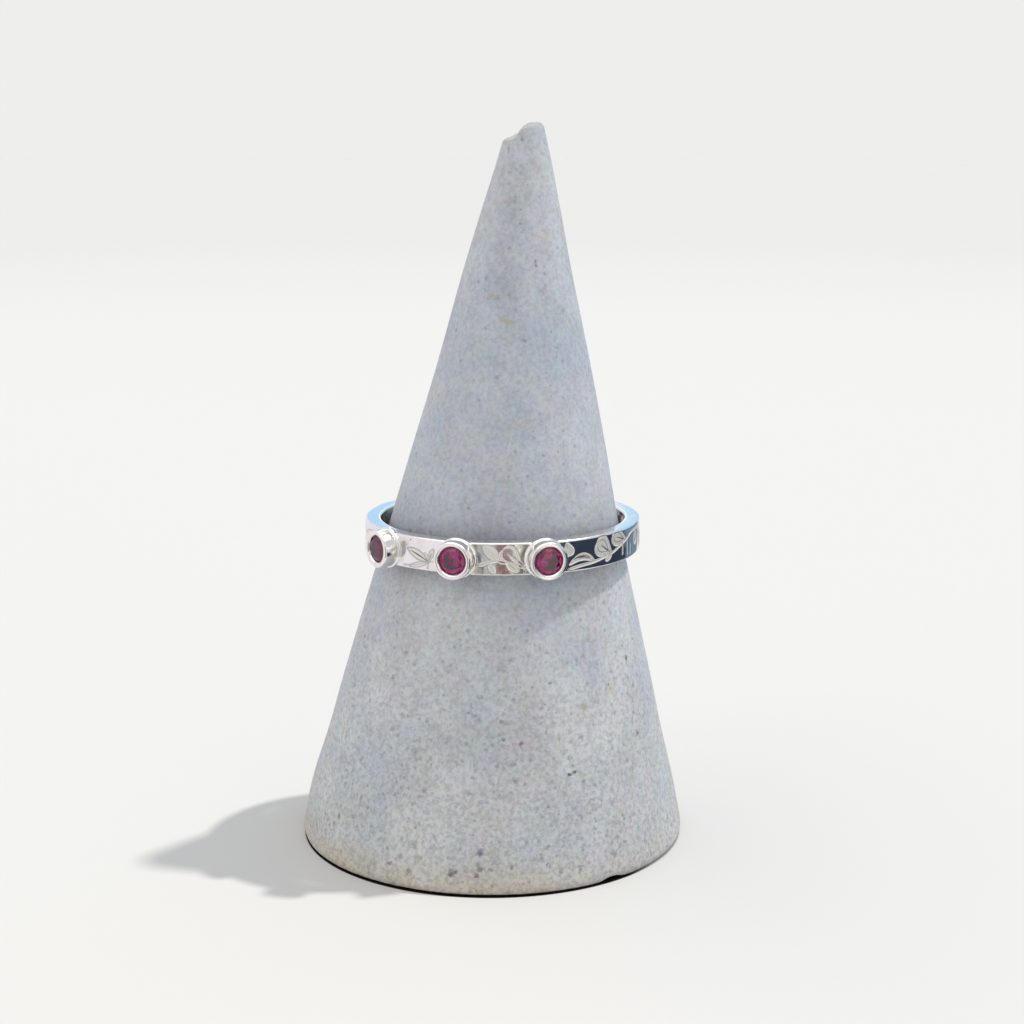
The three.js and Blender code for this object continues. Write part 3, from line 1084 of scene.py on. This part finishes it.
@dataclass
class SilverRing:
    """The band with its engraved vine and its three soldered cups, as one piece of silver."""

    bore_radius: float = 9.27
    thickness: float = 1.2
    width: float = 2.4
    edge: float = 0.15
    seam_angle: float = -53.0
    around: int = 1200
    face_rows: int = 46
    stone_angles: tuple[float, ...] = (-53.0, -18.0, 17.0)
    stone_radius: float = 1.125
    table_height: float = 1.104
    girdle_foot: float = 0.6875
    girdle_top: float = 0.7663
    culet_height: float = -0.28
    cup_wall: float = 0.275
    cup_reach: float = 0.165
    cup_height: float = 1.154
    cup_sunk: float = 0.2
    foot_flare: float = 0.1
    foot_height: float = 0.18
    table_share: float = 0.58
    stone_gap: float = 0.04
    rim_round: float = 0.2
    cup_around: int = 72
    worn_off: float = 0.02
    crown: float = 0.014
    hand_work: tuple[tuple[float, ...], ...] = (
        (0.0096, 17.0, 1.1, 0.0),
        (0.0048, 31.0, -2.0, 0.7),
        (0.00176, 53.0, 3.0, 0.0),
        (0.00112, 97.0, -5.0, 0.0),
    )
    outer_radius: float = field(init=False)
    centre: Vector = field(init=False)

    def __post_init__(self) -> None:
        """Take the ring's place from the frame: its right and back sides and its middle height."""
        low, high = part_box("ring_band")
        self.outer_radius = self.bore_radius + self.thickness
        middle = (low.z + high.z) / 2.0
        self.centre = Vector((high.x / MM - self.outer_radius, high.y / MM - self.outer_radius, middle / MM))

    def section(self) -> tuple[np.ndarray, np.ndarray, int]:
        """Draw the band's section: a rectangle with rounded edges, from the foot of its outer face upwards.

        Returns:
            The radii, the heights from the band's middle, and how many of the points lie on the outer face.
        """
        half, edge = self.width / 2.0, self.edge
        face = np.linspace(edge - half, half - edge, self.face_rows + 1)
        turn = np.linspace(0.0, np.pi / 2.0, 5)[1:]
        bore_turn = np.linspace(0.0, np.pi / 2.0, 4)[1:]
        outer, inner = self.outer_radius - edge, self.bore_radius + edge
        flat = np.array((outer - 0.04, 0.5 * (outer + inner), inner + 0.04, inner))
        bore = np.linspace(half - edge, edge - half, 5)[1:]
        radii = np.concatenate((
            np.full_like(face, self.outer_radius),
            self.outer_radius - edge + edge * np.cos(turn),
            flat,
            self.bore_radius + edge - edge * np.sin(bore_turn),
            np.full_like(bore, self.bore_radius),
            self.bore_radius + edge - edge * np.cos(bore_turn),
            flat[2::-1],
            self.outer_radius - edge + edge * np.sin(np.insert(turn[:-1], 0, 0.0)),
        ))
        heights = np.concatenate((
            face,
            half - edge + edge * np.sin(turn),
            np.full_like(flat, half),
            half - edge + edge * np.cos(bore_turn),
            bore,
            edge - half - edge * np.sin(bore_turn),
            np.full(len(flat) - 1, -half),
            edge - half - edge * np.cos(np.insert(turn[:-1], 0, 0.0)),
        ))
        return radii, heights, len(face)

    def band(self) -> Any:
        """Make the band: its section carried round, less the engraving, with the slight waves of hand work.

        Returns:
            The band's object, with the engraving's satin and its blackening kept as masks.
        """
        radii, heights, face_points = self.section()
        angles = math.radians(self.seam_angle) + np.linspace(0.0, 2.0 * np.pi, self.around, endpoint=False)
        grids = np.zeros((3, len(radii), self.around))
        vine = Vine(self.outer_radius, self.width / 2.0)
        grids[:, :face_points] = vine.engraving(angles * self.outer_radius, heights[:face_points])
        depths, satins, blacks = grids
        across = heights[:, None] / (self.width / 2.0)
        waves = waves_of(self.hand_work, angles, across)
        outside = (radii[:, None] > self.bore_radius + self.thickness / 2.0).astype(float)
        radius = radii[:, None] - depths - outside * (self.worn_off + waves + self.crown * across**4)
        level = heights[:, None] + 0.012 * np.sin(9 * angles + 0.4) * np.abs(across) ** 6
        x = self.centre.x + radius * np.sin(angles)
        y = self.centre.y - radius * np.cos(angles)
        z = self.centre.z + level + np.zeros_like(x)
        points = np.stack((x, y, z), axis=-1).reshape(-1, 3)
        band = new_piece("silver_ring", points, ring_quads(len(radii), self.around, closed=True))
        keep_mask(band, "engraved", satins)
        keep_mask(band, "blackened", blacks)
        return band

    def turned(self, name: str, profile: np.ndarray, sag: float) -> Any:
        """Turn a profile about each stone's axis, with its heights measured from the band's outer face.

        Args:
            name: the object's name.
            profile: rows of radius and height, from the axis at the foot to the axis at the top.
            sag: how much of the band's curve the lowest rows follow.

        Returns:
            One object that holds all three solids.
        """
        rows = profile[1:-1]
        turn = np.linspace(0.0, 2.0 * np.pi, self.cup_around, endpoint=False)
        aside = rows[:, :1] * np.cos(turn)
        drop = self.outer_radius - np.sqrt(self.outer_radius**2 - aside**2)
        follow = sag * (1.0 - smooth_step(self.foot_height, 2.5 * self.foot_height, rows[:, 1:]))
        height = rows[:, 1:] - follow * drop
        upward = rows[:, :1] * np.sin(turn)
        ends = profile[[0, -1]]
        aside = np.concatenate((aside.ravel(), ends[:, 0]))
        upward = np.concatenate((upward.ravel(), ends[:, 0]))
        height = np.concatenate((height.ravel(), ends[:, 1]))
        quads = ring_quads(len(rows), self.cup_around, closed=False)
        fans = pole_fans(len(rows), self.cup_around)
        solids = []
        for stone_angle in self.stone_angles:
            angle = math.radians(stone_angle)
            out = self.outer_radius + height
            x = self.centre.x + aside * math.cos(angle) + out * math.sin(angle)
            y = self.centre.y + aside * math.sin(angle) - out * math.cos(angle)
            solids.append(np.stack((x, y, self.centre.z + upward), axis=-1))
        shift = len(height) * np.arange(len(solids))[:, None, None]
        return new_piece(
            name, np.concatenate(solids), (quads + shift).reshape(-1, 4), (fans + shift).reshape(-1, 3)
        )

    def cup_profile(self) -> np.ndarray:
        """Draw a cup's outside: a thin foot plate, a seam, a slightly swelled wall and a rounded rim.

        Returns:
            Rows of radius and height.
        """
        radius = self.stone_radius + self.cup_wall
        plate = radius + self.foot_flare
        foot = [(0.0, -self.cup_sunk), (plate - 0.4, -self.cup_sunk), (plate - 0.05, -self.cup_sunk)]
        foot += [(plate - 0.012, -self.cup_sunk + 0.015), (plate, -self.cup_sunk + 0.05)]
        foot += [(plate, 0.05), (plate - 0.012, 0.085), (plate - 0.05, 0.115), (radius + 0.012, 0.135)]
        foot += [(radius - 0.02, 0.155), (radius - 0.022, 0.175), (radius, 0.2), (radius + 0.004, 0.25)]
        wall_top = self.cup_height - self.rim_round
        rise = wall_top - 0.25
        wall = [(radius + 0.012 * math.sin(math.pi * part), 0.25 + part * rise) for part in (0.3, 0.6, 1.0)]
        turn = np.radians((15.0, 30.0, 45.0, 60.0, 75.0, 90.0))
        inward = self.rim_round * (1.0 - np.cos(turn))
        rim = np.stack((radius - inward, wall_top + self.rim_round * np.sin(turn)), axis=-1)
        return np.concatenate((foot, wall, rim, [(0.0, self.cup_height)]))

    def hollow_profile(self) -> np.ndarray:
        """Draw a cup's hollow: a cone under the stone, a seat at its girdle, and a bright-cut mouth.

        Returns:
            Rows of radius and height.
        """
        seat = self.stone_radius + self.stone_gap
        opening = self.stone_radius - self.cup_reach
        table = self.table_share * self.stone_radius
        fall = (opening - table) / (self.stone_radius - table)
        lip = self.table_height + fall * (self.girdle_top - self.table_height) + self.stone_gap
        mouth = self.stone_radius + self.cup_wall - self.rim_round - 0.01
        rows = [(0.0, self.culet_height - self.stone_gap), (0.02, self.culet_height - self.stone_gap + 0.017)]
        rows += [(seat, self.girdle_foot - self.stone_gap), (seat, self.girdle_top + self.stone_gap)]
        rows += [(opening + 0.01, lip - 0.004), (opening, lip + 0.012), (opening + 0.006, lip + 0.045)]
        halfway = opening + 0.5 * (mouth - opening) - 0.012
        rows += [(halfway, lip + 0.045 + 0.6 * (self.cup_height - lip - 0.045))]
        rows += [(mouth - 0.05, self.cup_height - 0.012), (mouth, self.cup_height + 0.002)]
        rows += [(mouth + 0.02, self.cup_height + 0.3), (0.0, self.cup_height + 0.3)]
        return np.array(rows)

    def build(self, silver: Any) -> Any:
        """Make the ring: the band, its cups joined to it, and their hollows cut out.

        Args:
            silver: the ring's material.

        Returns:
            The finished piece.
        """
        ring = self.band()
        cut_or_join(ring, self.turned("cups", self.cup_profile(), 1.0), "UNION")
        cut_or_join(ring, self.turned("hollows", self.hollow_profile(), 0.0), "DIFFERENCE")
        ring.data.materials.clear()
        ring.data.materials.append(silver)
        ring.data.shade_smooth()
        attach(ring, "root")
        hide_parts("ring_band")
        return ring


@dataclass
class RingCone:
    """The handmade cone: a leaning, slightly uneven turned form with a broken tip and a chipped foot."""

    height: float = 54.2
    radius: float = 14.9
    lean: float = 2.5
    around: int = 336
    unevenness: float = 0.0035
    hand_work: tuple[tuple[float, ...], ...] = (
        (1.0, 2.0, 3.0, 0.6),
        (0.6, 3.0, 7.0, -1.2),
        (0.35, 5.0, 11.0, 0.0),
        (0.25, 1.0, 19.0, 0.0),
    )
    ledge_waves: tuple[tuple[float, ...], ...] = (
        (0.022, 7.0, 3.0, 0.0),
        (0.018, -5.0, 13.0, 0.0),
        (0.012, 23.0, 4.0, 0.0),
    )
    chip_angle: float = 37.0
    chip_half_length: float = 1.2
    chip_height: float = 0.25
    edge_lift: float = 0.15
    lift_angle: float = -25.0
    softness: float = 0.1
    break_line: tuple[tuple[float, float], ...] = (
        (-2.4, -1.85),
        (-1.6, -1.42),
        (-1.2, -1.2),
        (-0.8, -1.02),
        (-0.44, -0.84),
        (-0.25, -0.6),
        (-0.1, -0.38),
        (0.15, -0.2),
        (0.4, -0.07),
        (0.75, -0.01),
        (1.05, -0.07),
        (1.3, -0.22),
        (1.6, -0.42),
        (2.2, -0.85),
    )
    sections: tuple[tuple[float, float, float], ...] = (
        (0.0, 0.985, 0.0),
        (0.007, 0.991, 0.0),
        (0.014, 0.99, 0.0),
        (0.028, 0.98, 0.0),
        (0.074, 0.943, 0.01),
        (0.148, 0.867, 0.08),
        (0.221, 0.801, 0.145),
        (0.295, 0.731, 0.21),
        (0.369, 0.661, 0.28),
        (0.443, 0.59, 0.36),
        (0.554, 0.493, 0.52),
        (0.664, 0.393, 0.66),
        (0.812, 0.26, 0.79),
        (0.886, 0.192, 0.89),
        (0.959, 0.124, 0.985),
        (0.985, 0.1, 1.0),
        (0.9945, 0.092, 1.0),
        (1.0, 0.086, 1.0),
    )

    def column(self, number: int, shares: np.ndarray) -> np.ndarray:
        """Read one column of the table of sections, smoothly, at shares of the cone's height."""
        table = np.array(self.sections)
        return smooth_through(table[:, 0], table[:, number], shares)

    def surface_point(self, height: float, angle: float) -> tuple[float, float, float]:
        """Find a point of the cone's side.

        Args:
            height: the point's height in millimetres.
            angle: its angle from the front.

        Returns:
            The point in metres.
        """
        share = np.array(height / self.height)
        radius = self.radius * float(self.column(1, share))
        aside = self.lean * float(self.column(2, share))
        turn = math.radians(angle)
        return ((aside + radius * math.sin(turn)) * MM, -radius * math.cos(turn) * MM, height * MM)

    def ledge(self, x: np.ndarray, y: np.ndarray) -> np.ndarray:
        """Work out the height of the break at each place: a summit at the right, a step, and a sloping ledge.

        A smooth curve through a table gives the height from left to right. The break also falls off towards
        the front and the back, and small waves roughen all of it.

        Args:
            x: the places' distances to the right of the tip's centre.
            y: their distances behind it.

        Returns:
            The greatest height there.
        """
        table = np.array(self.break_line)
        aside = x - 0.25 * y
        line = smooth_through(table[:, 0], table[:, 1], np.clip(aside, table[0, 0], table[-1, 0]))
        front = 0.4 * smooth_step(0.1, 1.5, -y) + 0.3 * smooth_step(0.3, 1.6, y)
        return self.height + line - front + waves_of(self.ledge_waves, x, y)

    def profile(self) -> tuple[np.ndarray, np.ndarray]:
        """List the circles of the surface, from the middle of the underside to the middle of the top.

        Returns:
            Each circle's share of the cone's height, and its radius in millimetres.
        """
        under = np.array((0.3, 0.6, 0.8, 0.85, 0.865, 0.88, 0.895, 0.94))
        foot = np.linspace(0.0, 0.03, 18, endpoint=False)
        body = np.linspace(0.03, 0.93, 165, endpoint=False)
        tip = np.linspace(0.93, 1.0, 58)
        side = np.concatenate((foot, body, tip))
        cap = np.linspace(0.94, 0.04, 14) * self.column(1, np.ones(1))
        shares = np.concatenate((np.zeros_like(under), side, np.ones_like(cap)))
        return shares, np.concatenate((under, self.column(1, side), cap)) * self.radius

    def broken_tip(self, x: np.ndarray, y: np.ndarray, z: np.ndarray) -> tuple[np.ndarray, np.ndarray]:
        """Lower the tip to the break's height, with worn edges.

        The new height is the soft lesser of the two: minus k times the logarithm of the sum of both heights'
        negative powers, with k the edges' softness.

        Args:
            x: the points' places to the right.
            y: their places behind.
            z: their heights.

        Returns:
            The new heights, and how much of the broken clay shows at each point.
        """
        allowed = self.ledge(x - self.lean, y)
        worn = -self.softness * np.logaddexp(-z / self.softness, -allowed / self.softness)
        near_tip = z > 0.9 * self.height
        torn = np.where(near_tip, smooth_step(-0.5, 0.2, z - allowed), 0.0)
        return np.where(near_tip, worn, z), torn

    def chipped_foot(
        self, turn: np.ndarray, radius: np.ndarray, z: np.ndarray
    ) -> tuple[np.ndarray, np.ndarray]:
        """Lift the underside's edge a little all round, and more where the chip is.

        Args:
            turn: the points' angles, from +X.
            radius: their distances from the axis.
            z: their heights.

        Returns:
            The new heights, and how much of the broken clay shows at each point.
        """
        front = np.cos(turn - math.radians(self.lift_angle - 90.0))
        rim = smooth_step(self.radius - 2.2, self.radius - 1.7, radius) * (1.0 - smooth_step(0.0, 0.7, z))
        z = z + self.edge_lift * (0.5 + 0.5 * front) * rim
        arc = self.radius * ((turn - math.radians(self.chip_angle - 90.0) + np.pi) % (2.0 * np.pi) - np.pi)
        skewed = arc + 0.35 * np.sin(1.4 * arc)
        bite = np.exp(-np.abs(skewed / self.chip_half_length) ** 3.0)
        bite = bite * smooth_step(self.radius - 1.7, self.radius - 0.4, radius)
        lift = self.chip_height * bite * (1.0 - smooth_step(0.0, 1.1, z))
        torn = smooth_step(0.15, 0.6, bite) * (1.0 - smooth_step(0.3, 0.5, z + lift))
        return z + lift, 0.6 * torn

    def build(self, stoneware: Any) -> Any:
        """Make the cone: circles of the table's sections, less the break and the chip.

        The radius varies by a few thousandths in slow waves. Points above the break's height are lowered to
        it, and those at the foot are lifted where the chip is.

        Args:
            stoneware: the cone's material.

        Returns:
            The finished piece.
        """
        shares, radii = self.profile()
        turn = np.linspace(0.0, 2.0 * np.pi, self.around, endpoint=False)
        rise = shares[:, None]
        waves = waves_of(self.hand_work, turn, rise)
        uneven = self.unevenness * smooth_step(0.0, 0.06, rise) * (1.0 - 0.6 * smooth_step(0.3, 0.5, rise))
        radius = radii[:, None] * (1.0 + uneven * waves)
        x = self.lean * self.column(2, shares)[:, None] + radius * np.cos(turn)
        y = radius * np.sin(turn)
        z = self.height * rise + np.zeros_like(x)
        z, torn = self.broken_tip(x, y, z)
        z, chipped = self.chipped_foot(turn, radius, z)
        top = float(self.ledge(np.array(0.0), np.array(0.0)))
        points = np.stack((x, y, z), axis=-1).reshape(-1, 3)
        points = np.concatenate((points, ((0.0, 0.0, 0.0), (self.lean, 0.0, top))))
        quads = ring_quads(len(shares), self.around, closed=False)
        cone = new_piece("ring_cone_stand", points, quads, pole_fans(len(shares), self.around))
        keep_mask(cone, "broken", np.concatenate((np.maximum(torn, chipped).ravel(), (0.0, 1.0))))
        cone.data.materials.append(stoneware)
        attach(cone, "root")
        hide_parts("ring_cone")
        return cone


class Shows(Enum):
    """Where a part of the studio shows: in the light on things, in what they mirror, or in both."""

    LIGHTING = "lighting"
    MIRRORED = "mirrored"
    BOTH = "both"


@dataclass(frozen=True)
class Card:
    """A soft-edged patch of the studio: its middle, its reach, its colour, and where it shows."""

    azimuth: float
    half_breadth: float
    foot: float
    top: float
    colour: Colour
    soft: float = 4.0
    shows: Shows = Shows.BOTH


@dataclass
class Studio:
    """The pale floor, the surrounding light, the key light and the camera."""

    floor_colour: Colour = (0.766, 0.762, 0.738, 1.0)
    far_colour: Colour = (0.716, 0.711, 0.691, 1.0)
    cloud_colour: Colour = (0.76, 0.755, 0.74, 1.0)
    # painted shade: a dark disc on the floor under the cone, seen only through the gap at its rim
    painted_gap_shade: Colour = (0.015, 0.013, 0.012, 1.0)
    gap_radius: tuple[float, float] = (14.64, 14.76)
    gap_forward: float = 0.2
    gap_thins: tuple[float, float] = (10.0, 12.4)
    floor_reach: tuple[float, float] = (20.0, 15000.0)
    floor_rings: int = 24
    floor_around: int = 96
    backdrop: Colour = (0.855, 0.855, 0.84, 1.0)
    surround: Colour = (0.61, 0.622, 0.66, 1.0)
    below: Colour = (0.83, 0.82, 0.81, 1.0)
    overhead: Colour = (1.5, 1.44, 1.34, 1.0)
    sun_strength: float = 1.7
    sun_angle: float = 2.2
    sun_colour: tuple[float, float, float] = (1.0, 0.975, 0.93)
    sun_travel: tuple[float, float, float] = (-0.451, -0.129, -0.883)
    camera_place: tuple[float, float, float] = (1.54, -135.0, 51.9)
    camera_pitch: float = 78.73
    lens: float = 63.32
    cards: tuple[Card, ...] = (
        Card(0.0, 55.0, -60.0, 40.0, (0.85, 0.81, 0.73, 1.0), 12.0, Shows.MIRRORED),
        Card(180.0, 60.0, -3.0, 36.0, (0.46, 0.72, 0.98, 1.0), 8.0),
        Card(180.0, 3.2, -12.0, 60.0, (1.25, 1.2, 1.1, 1.0), 1.2, Shows.MIRRORED),
        Card(85.0, 41.0, -40.0, 6.0, (0.03, 0.043, 0.07, 1.0), 3.0, Shows.MIRRORED),
        Card(138.0, 14.0, -40.0, 12.0, (0.16, 0.24, 0.32, 1.0), 6.0, Shows.MIRRORED),
        Card(34.0, 9.0, -40.0, 25.0, (1.1, 1.08, 1.02, 1.0), 3.0),
        Card(-11.0, 8.0, -45.0, 20.0, (0.47, 0.48, 0.475, 1.0), 4.0, Shows.MIRRORED),
        Card(-22.0, 3.0, -45.0, 20.0, (0.12, 0.14, 0.16, 1.0), 2.0, Shows.MIRRORED),
        Card(2.0, 6.0, -45.0, 20.0, (0.24, 0.15, 0.15, 1.0), 2.0),
        Card(17.0, 5.0, -45.0, 15.0, (0.17, 0.165, 0.13, 1.0), 2.0),
        Card(-100.0, 70.0, -45.0, 50.0, (0.84, 0.80, 0.85, 1.0), 10.0, Shows.MIRRORED),
        Card(-95.0, 60.0, -20.0, 70.0, (1.1, 1.06, 1.02, 1.0), 14.0, Shows.LIGHTING),
    )

    def card_group(self) -> Any:
        """Build the node group of one card: its share of a direction, soft at all four edges.

        Returns:
            The group's tree.
        """
        edges = ("Inner", "Outer", "Foot", "Top", "Soft")
        effect = Effect("studio_card", "Share", ("Direction", "Towards"), edges)
        given, wiring = effect.given, effect.wiring
        level = wiring.vector("MULTIPLY", given["Direction"], (1.0, 1.0, 0.0)).outputs[0]
        flat = wiring.vector("NORMALIZE", level, level).outputs[0]
        facing = wiring.vector("DOT_PRODUCT", flat, given["Towards"]).outputs["Value"]
        breadth = wiring.rise(facing, given["Outer"], given["Inner"])
        upright = wiring.add("ShaderNodeSeparateXYZ", {0: given["Direction"]}).outputs["Z"]
        above = wiring.rise(upright, given["Foot"], wiring.sum("ADD", given["Foot"], given["Soft"]))
        fading = wiring.sum("SUBTRACT", given["Top"], given["Soft"])
        under = wiring.rise(upright, fading, given["Top"], 1.0, 0.0)
        return effect.finish(wiring.sum("MULTIPLY", breadth, wiring.sum("MULTIPLY", above, under)))

    def surroundings(self) -> None:
        """Make the light from all round: a pale room with cards in it, which the camera itself never sees."""
        world = bpy.data.worlds.new("studio")
        bpy.context.scene.world = world
        world.use_nodes = True
        world.node_tree.nodes.clear()
        wiring = Wiring(world.node_tree)
        direction = wiring.add("ShaderNodeTexCoord").outputs["Generated"]
        upright = wiring.add("ShaderNodeSeparateXYZ", {0: direction}).outputs["Z"]
        rays = wiring.add("ShaderNodeLightPath").outputs
        mirrored = wiring.sum("MAXIMUM", rays["Is Glossy Ray"], rays["Is Transmission Ray"])
        masks = {Shows.MIRRORED: mirrored, Shows.LIGHTING: wiring.sum("SUBTRACT", 1.0, mirrored)}
        colour = wiring.blend(wiring.rise(upright, -0.05, 0.05), self.below, self.surround)
        ceiling = wiring.sum("MULTIPLY", wiring.rise(upright, 0.66, 0.82), mirrored)
        colour = wiring.blend(ceiling, colour, self.overhead)
        group = self.card_group()
        for card in self.cards:
            turn = math.radians(card.azimuth)
            sockets = {
                "Direction": direction,
                "Towards": (math.sin(turn), -math.cos(turn), 0.0),
                "Inner": math.cos(math.radians(max(card.half_breadth - card.soft / 2.0, 0.0))),
                "Outer": math.cos(math.radians(card.half_breadth + card.soft / 2.0)),
                "Foot": math.sin(math.radians(card.foot)),
                "Top": math.sin(math.radians(card.top)),
                "Soft": math.sin(math.radians(card.soft)),
            }
            share = wiring.group(group, sockets)
            if card.shows in masks:
                share = wiring.sum("MULTIPLY", share, masks[card.shows])
            colour = wiring.blend(share, colour, card.colour)
        colour = wiring.blend(rays["Is Camera Ray"], colour, self.backdrop)
        light = wiring.add("ShaderNodeBackground", {"Color": colour})
        wiring.add("ShaderNodeOutputWorld", {"Surface": light.outputs[0]})

    def floor(self, effects: Effects) -> Any:
        """Make the floor: a wide disc of rings that grow wider outwards, pale and very slightly clouded.

        It is painted dark under the cone, a painted shade that is weaker towards the right, so that the
        narrow gap below the cone's rim shows as a thin dark line.

        Args:
            effects: the shared effects.

        Returns:
            The floor's object.
        """
        around = self.floor_around
        radii = np.geomspace(*self.floor_reach, self.floor_rings)
        turn = np.linspace(0.0, 2.0 * np.pi, around, endpoint=False)
        x, y = radii[:, None] * np.cos(turn), radii[:, None] * np.sin(turn)
        points = np.stack((x, y, np.zeros_like(x)), axis=-1).reshape(-1, 3)
        points = np.concatenate((points, np.zeros((1, 3))))
        ahead = (np.arange(around) + 1) % around
        fan = np.stack((np.full(around, len(points) - 1), np.arange(around), ahead), axis=-1)
        quads = ring_quads(self.floor_rings, around, closed=False)[:, ::-1]
        floor = new_piece("studio_floor", points, quads, fan)
        material, wiring, shader, place = new_material("pale_floor")
        centred = wiring.vector("ADD", place, (0.0, self.gap_forward * MM, 0.0)).outputs[0]
        away = wiring.vector("LENGTH", centred, centred).outputs["Value"]
        clouds = {"Place": place, "Scale": 22.0, "Roughness": 0.5, "Low": 0.35, "High": 0.7}
        cloud = wiring.sum("MULTIPLY", wiring.group(effects.clouds, clouds), 0.1)
        colour = wiring.blend(cloud, self.floor_colour, self.cloud_colour)
        colour = wiring.blend(wiring.rise(away, 0.2, 1.1), colour, self.far_colour)
        aside = wiring.add("ShaderNodeSeparateXYZ", {0: place}).outputs["X"]
        inner, outer = (radius * MM for radius in self.gap_radius)
        near, far = (distance * MM for distance in self.gap_thins)
        # painted shade under the cone's rim, weaker towards the right, so that the gap reads as a dark line
        shade_thinned = wiring.rise(aside, near, far, 1.0, 0.5)
        under = wiring.sum("MULTIPLY", wiring.rise(away, inner, outer, 1.0, 0.0), shade_thinned)
        colour = wiring.blend(under, colour, self.painted_gap_shade)
        wiring.connect(shader, {"Base Color": colour, "Roughness": 0.9, "Specular IOR Level": 0.0})
        floor.data.materials.append(material)
        floor.visible_glossy = False
        return floor

    def key_light(self) -> None:
        """Make the key light: a soft sun from the right, a little behind the object."""
        sun = bpy.data.lights.new("key_light", "SUN")
        sun.energy = self.sun_strength
        sun.angle = math.radians(self.sun_angle)
        sun.color = self.sun_colour
        lamp = bpy.data.objects.new("key_light", sun)
        lamp.rotation_euler = Vector(self.sun_travel).to_track_quat("-Z", "Y").to_euler()
        bpy.context.scene.collection.objects.link(lamp)

    def camera(self) -> None:
        """Make the camera at the photograph's place and angle."""
        camera = bpy.data.cameras.new("camera")
        camera.lens = self.lens
        camera.clip_start = 1.0 * MM
        camera.clip_end = 20.0
        holder = bpy.data.objects.new("camera", camera)
        holder.location = Vector(self.camera_place) * MM
        holder.rotation_euler = (math.radians(self.camera_pitch), 0.0, 0.0)
        bpy.context.scene.collection.objects.link(holder)
        bpy.context.scene.camera = holder

    def build(self, effects: Effects) -> None:
        """Set the stage, and how the picture is developed.

        Args:
            effects: the shared effects.
        """
        self.surroundings()
        self.floor(effects)
        self.key_light()
        self.camera()
        scene = bpy.context.scene
        scene.view_settings.view_transform = "Standard"
        scene.cycles.use_denoising = True
        scene.cycles.caustics_reflective = False
        scene.cycles.caustics_refractive = False


def dress_stones(ruby: Any) -> None:
    """Give the three cut stones of the frame their finish.

    Args:
        ruby: the stones' material.
    """
    for name in ("ruby_left", "ruby_middle", "ruby_right"):
        stone = bpy.data.objects[name]
        stone.data.materials.clear()
        stone.data.materials.append(ruby)


def report_piece(piece: Any) -> None:
    """Log a piece's name and how many faces it has.

    Args:
        piece: the finished object.
    """
    LOG.info("%s: %d faces", piece.name, len(piece.data.polygons))


def main() -> None:
    """Build the stage, the cone, the ring and the stones' finish."""
    logging.basicConfig(level=logging.INFO, format="%(name)s: %(message)s")
    effects = Effects()
    Studio().build(effects)
    cone = RingCone()
    report_piece(cone.build(StonewareFinish().make(effects, cone)))
    report_piece(SilverRing().build(SilverFinish().make(effects)))
    dress_stones(RubyFinish().make(effects))


if __name__ == "__main__":
    main()
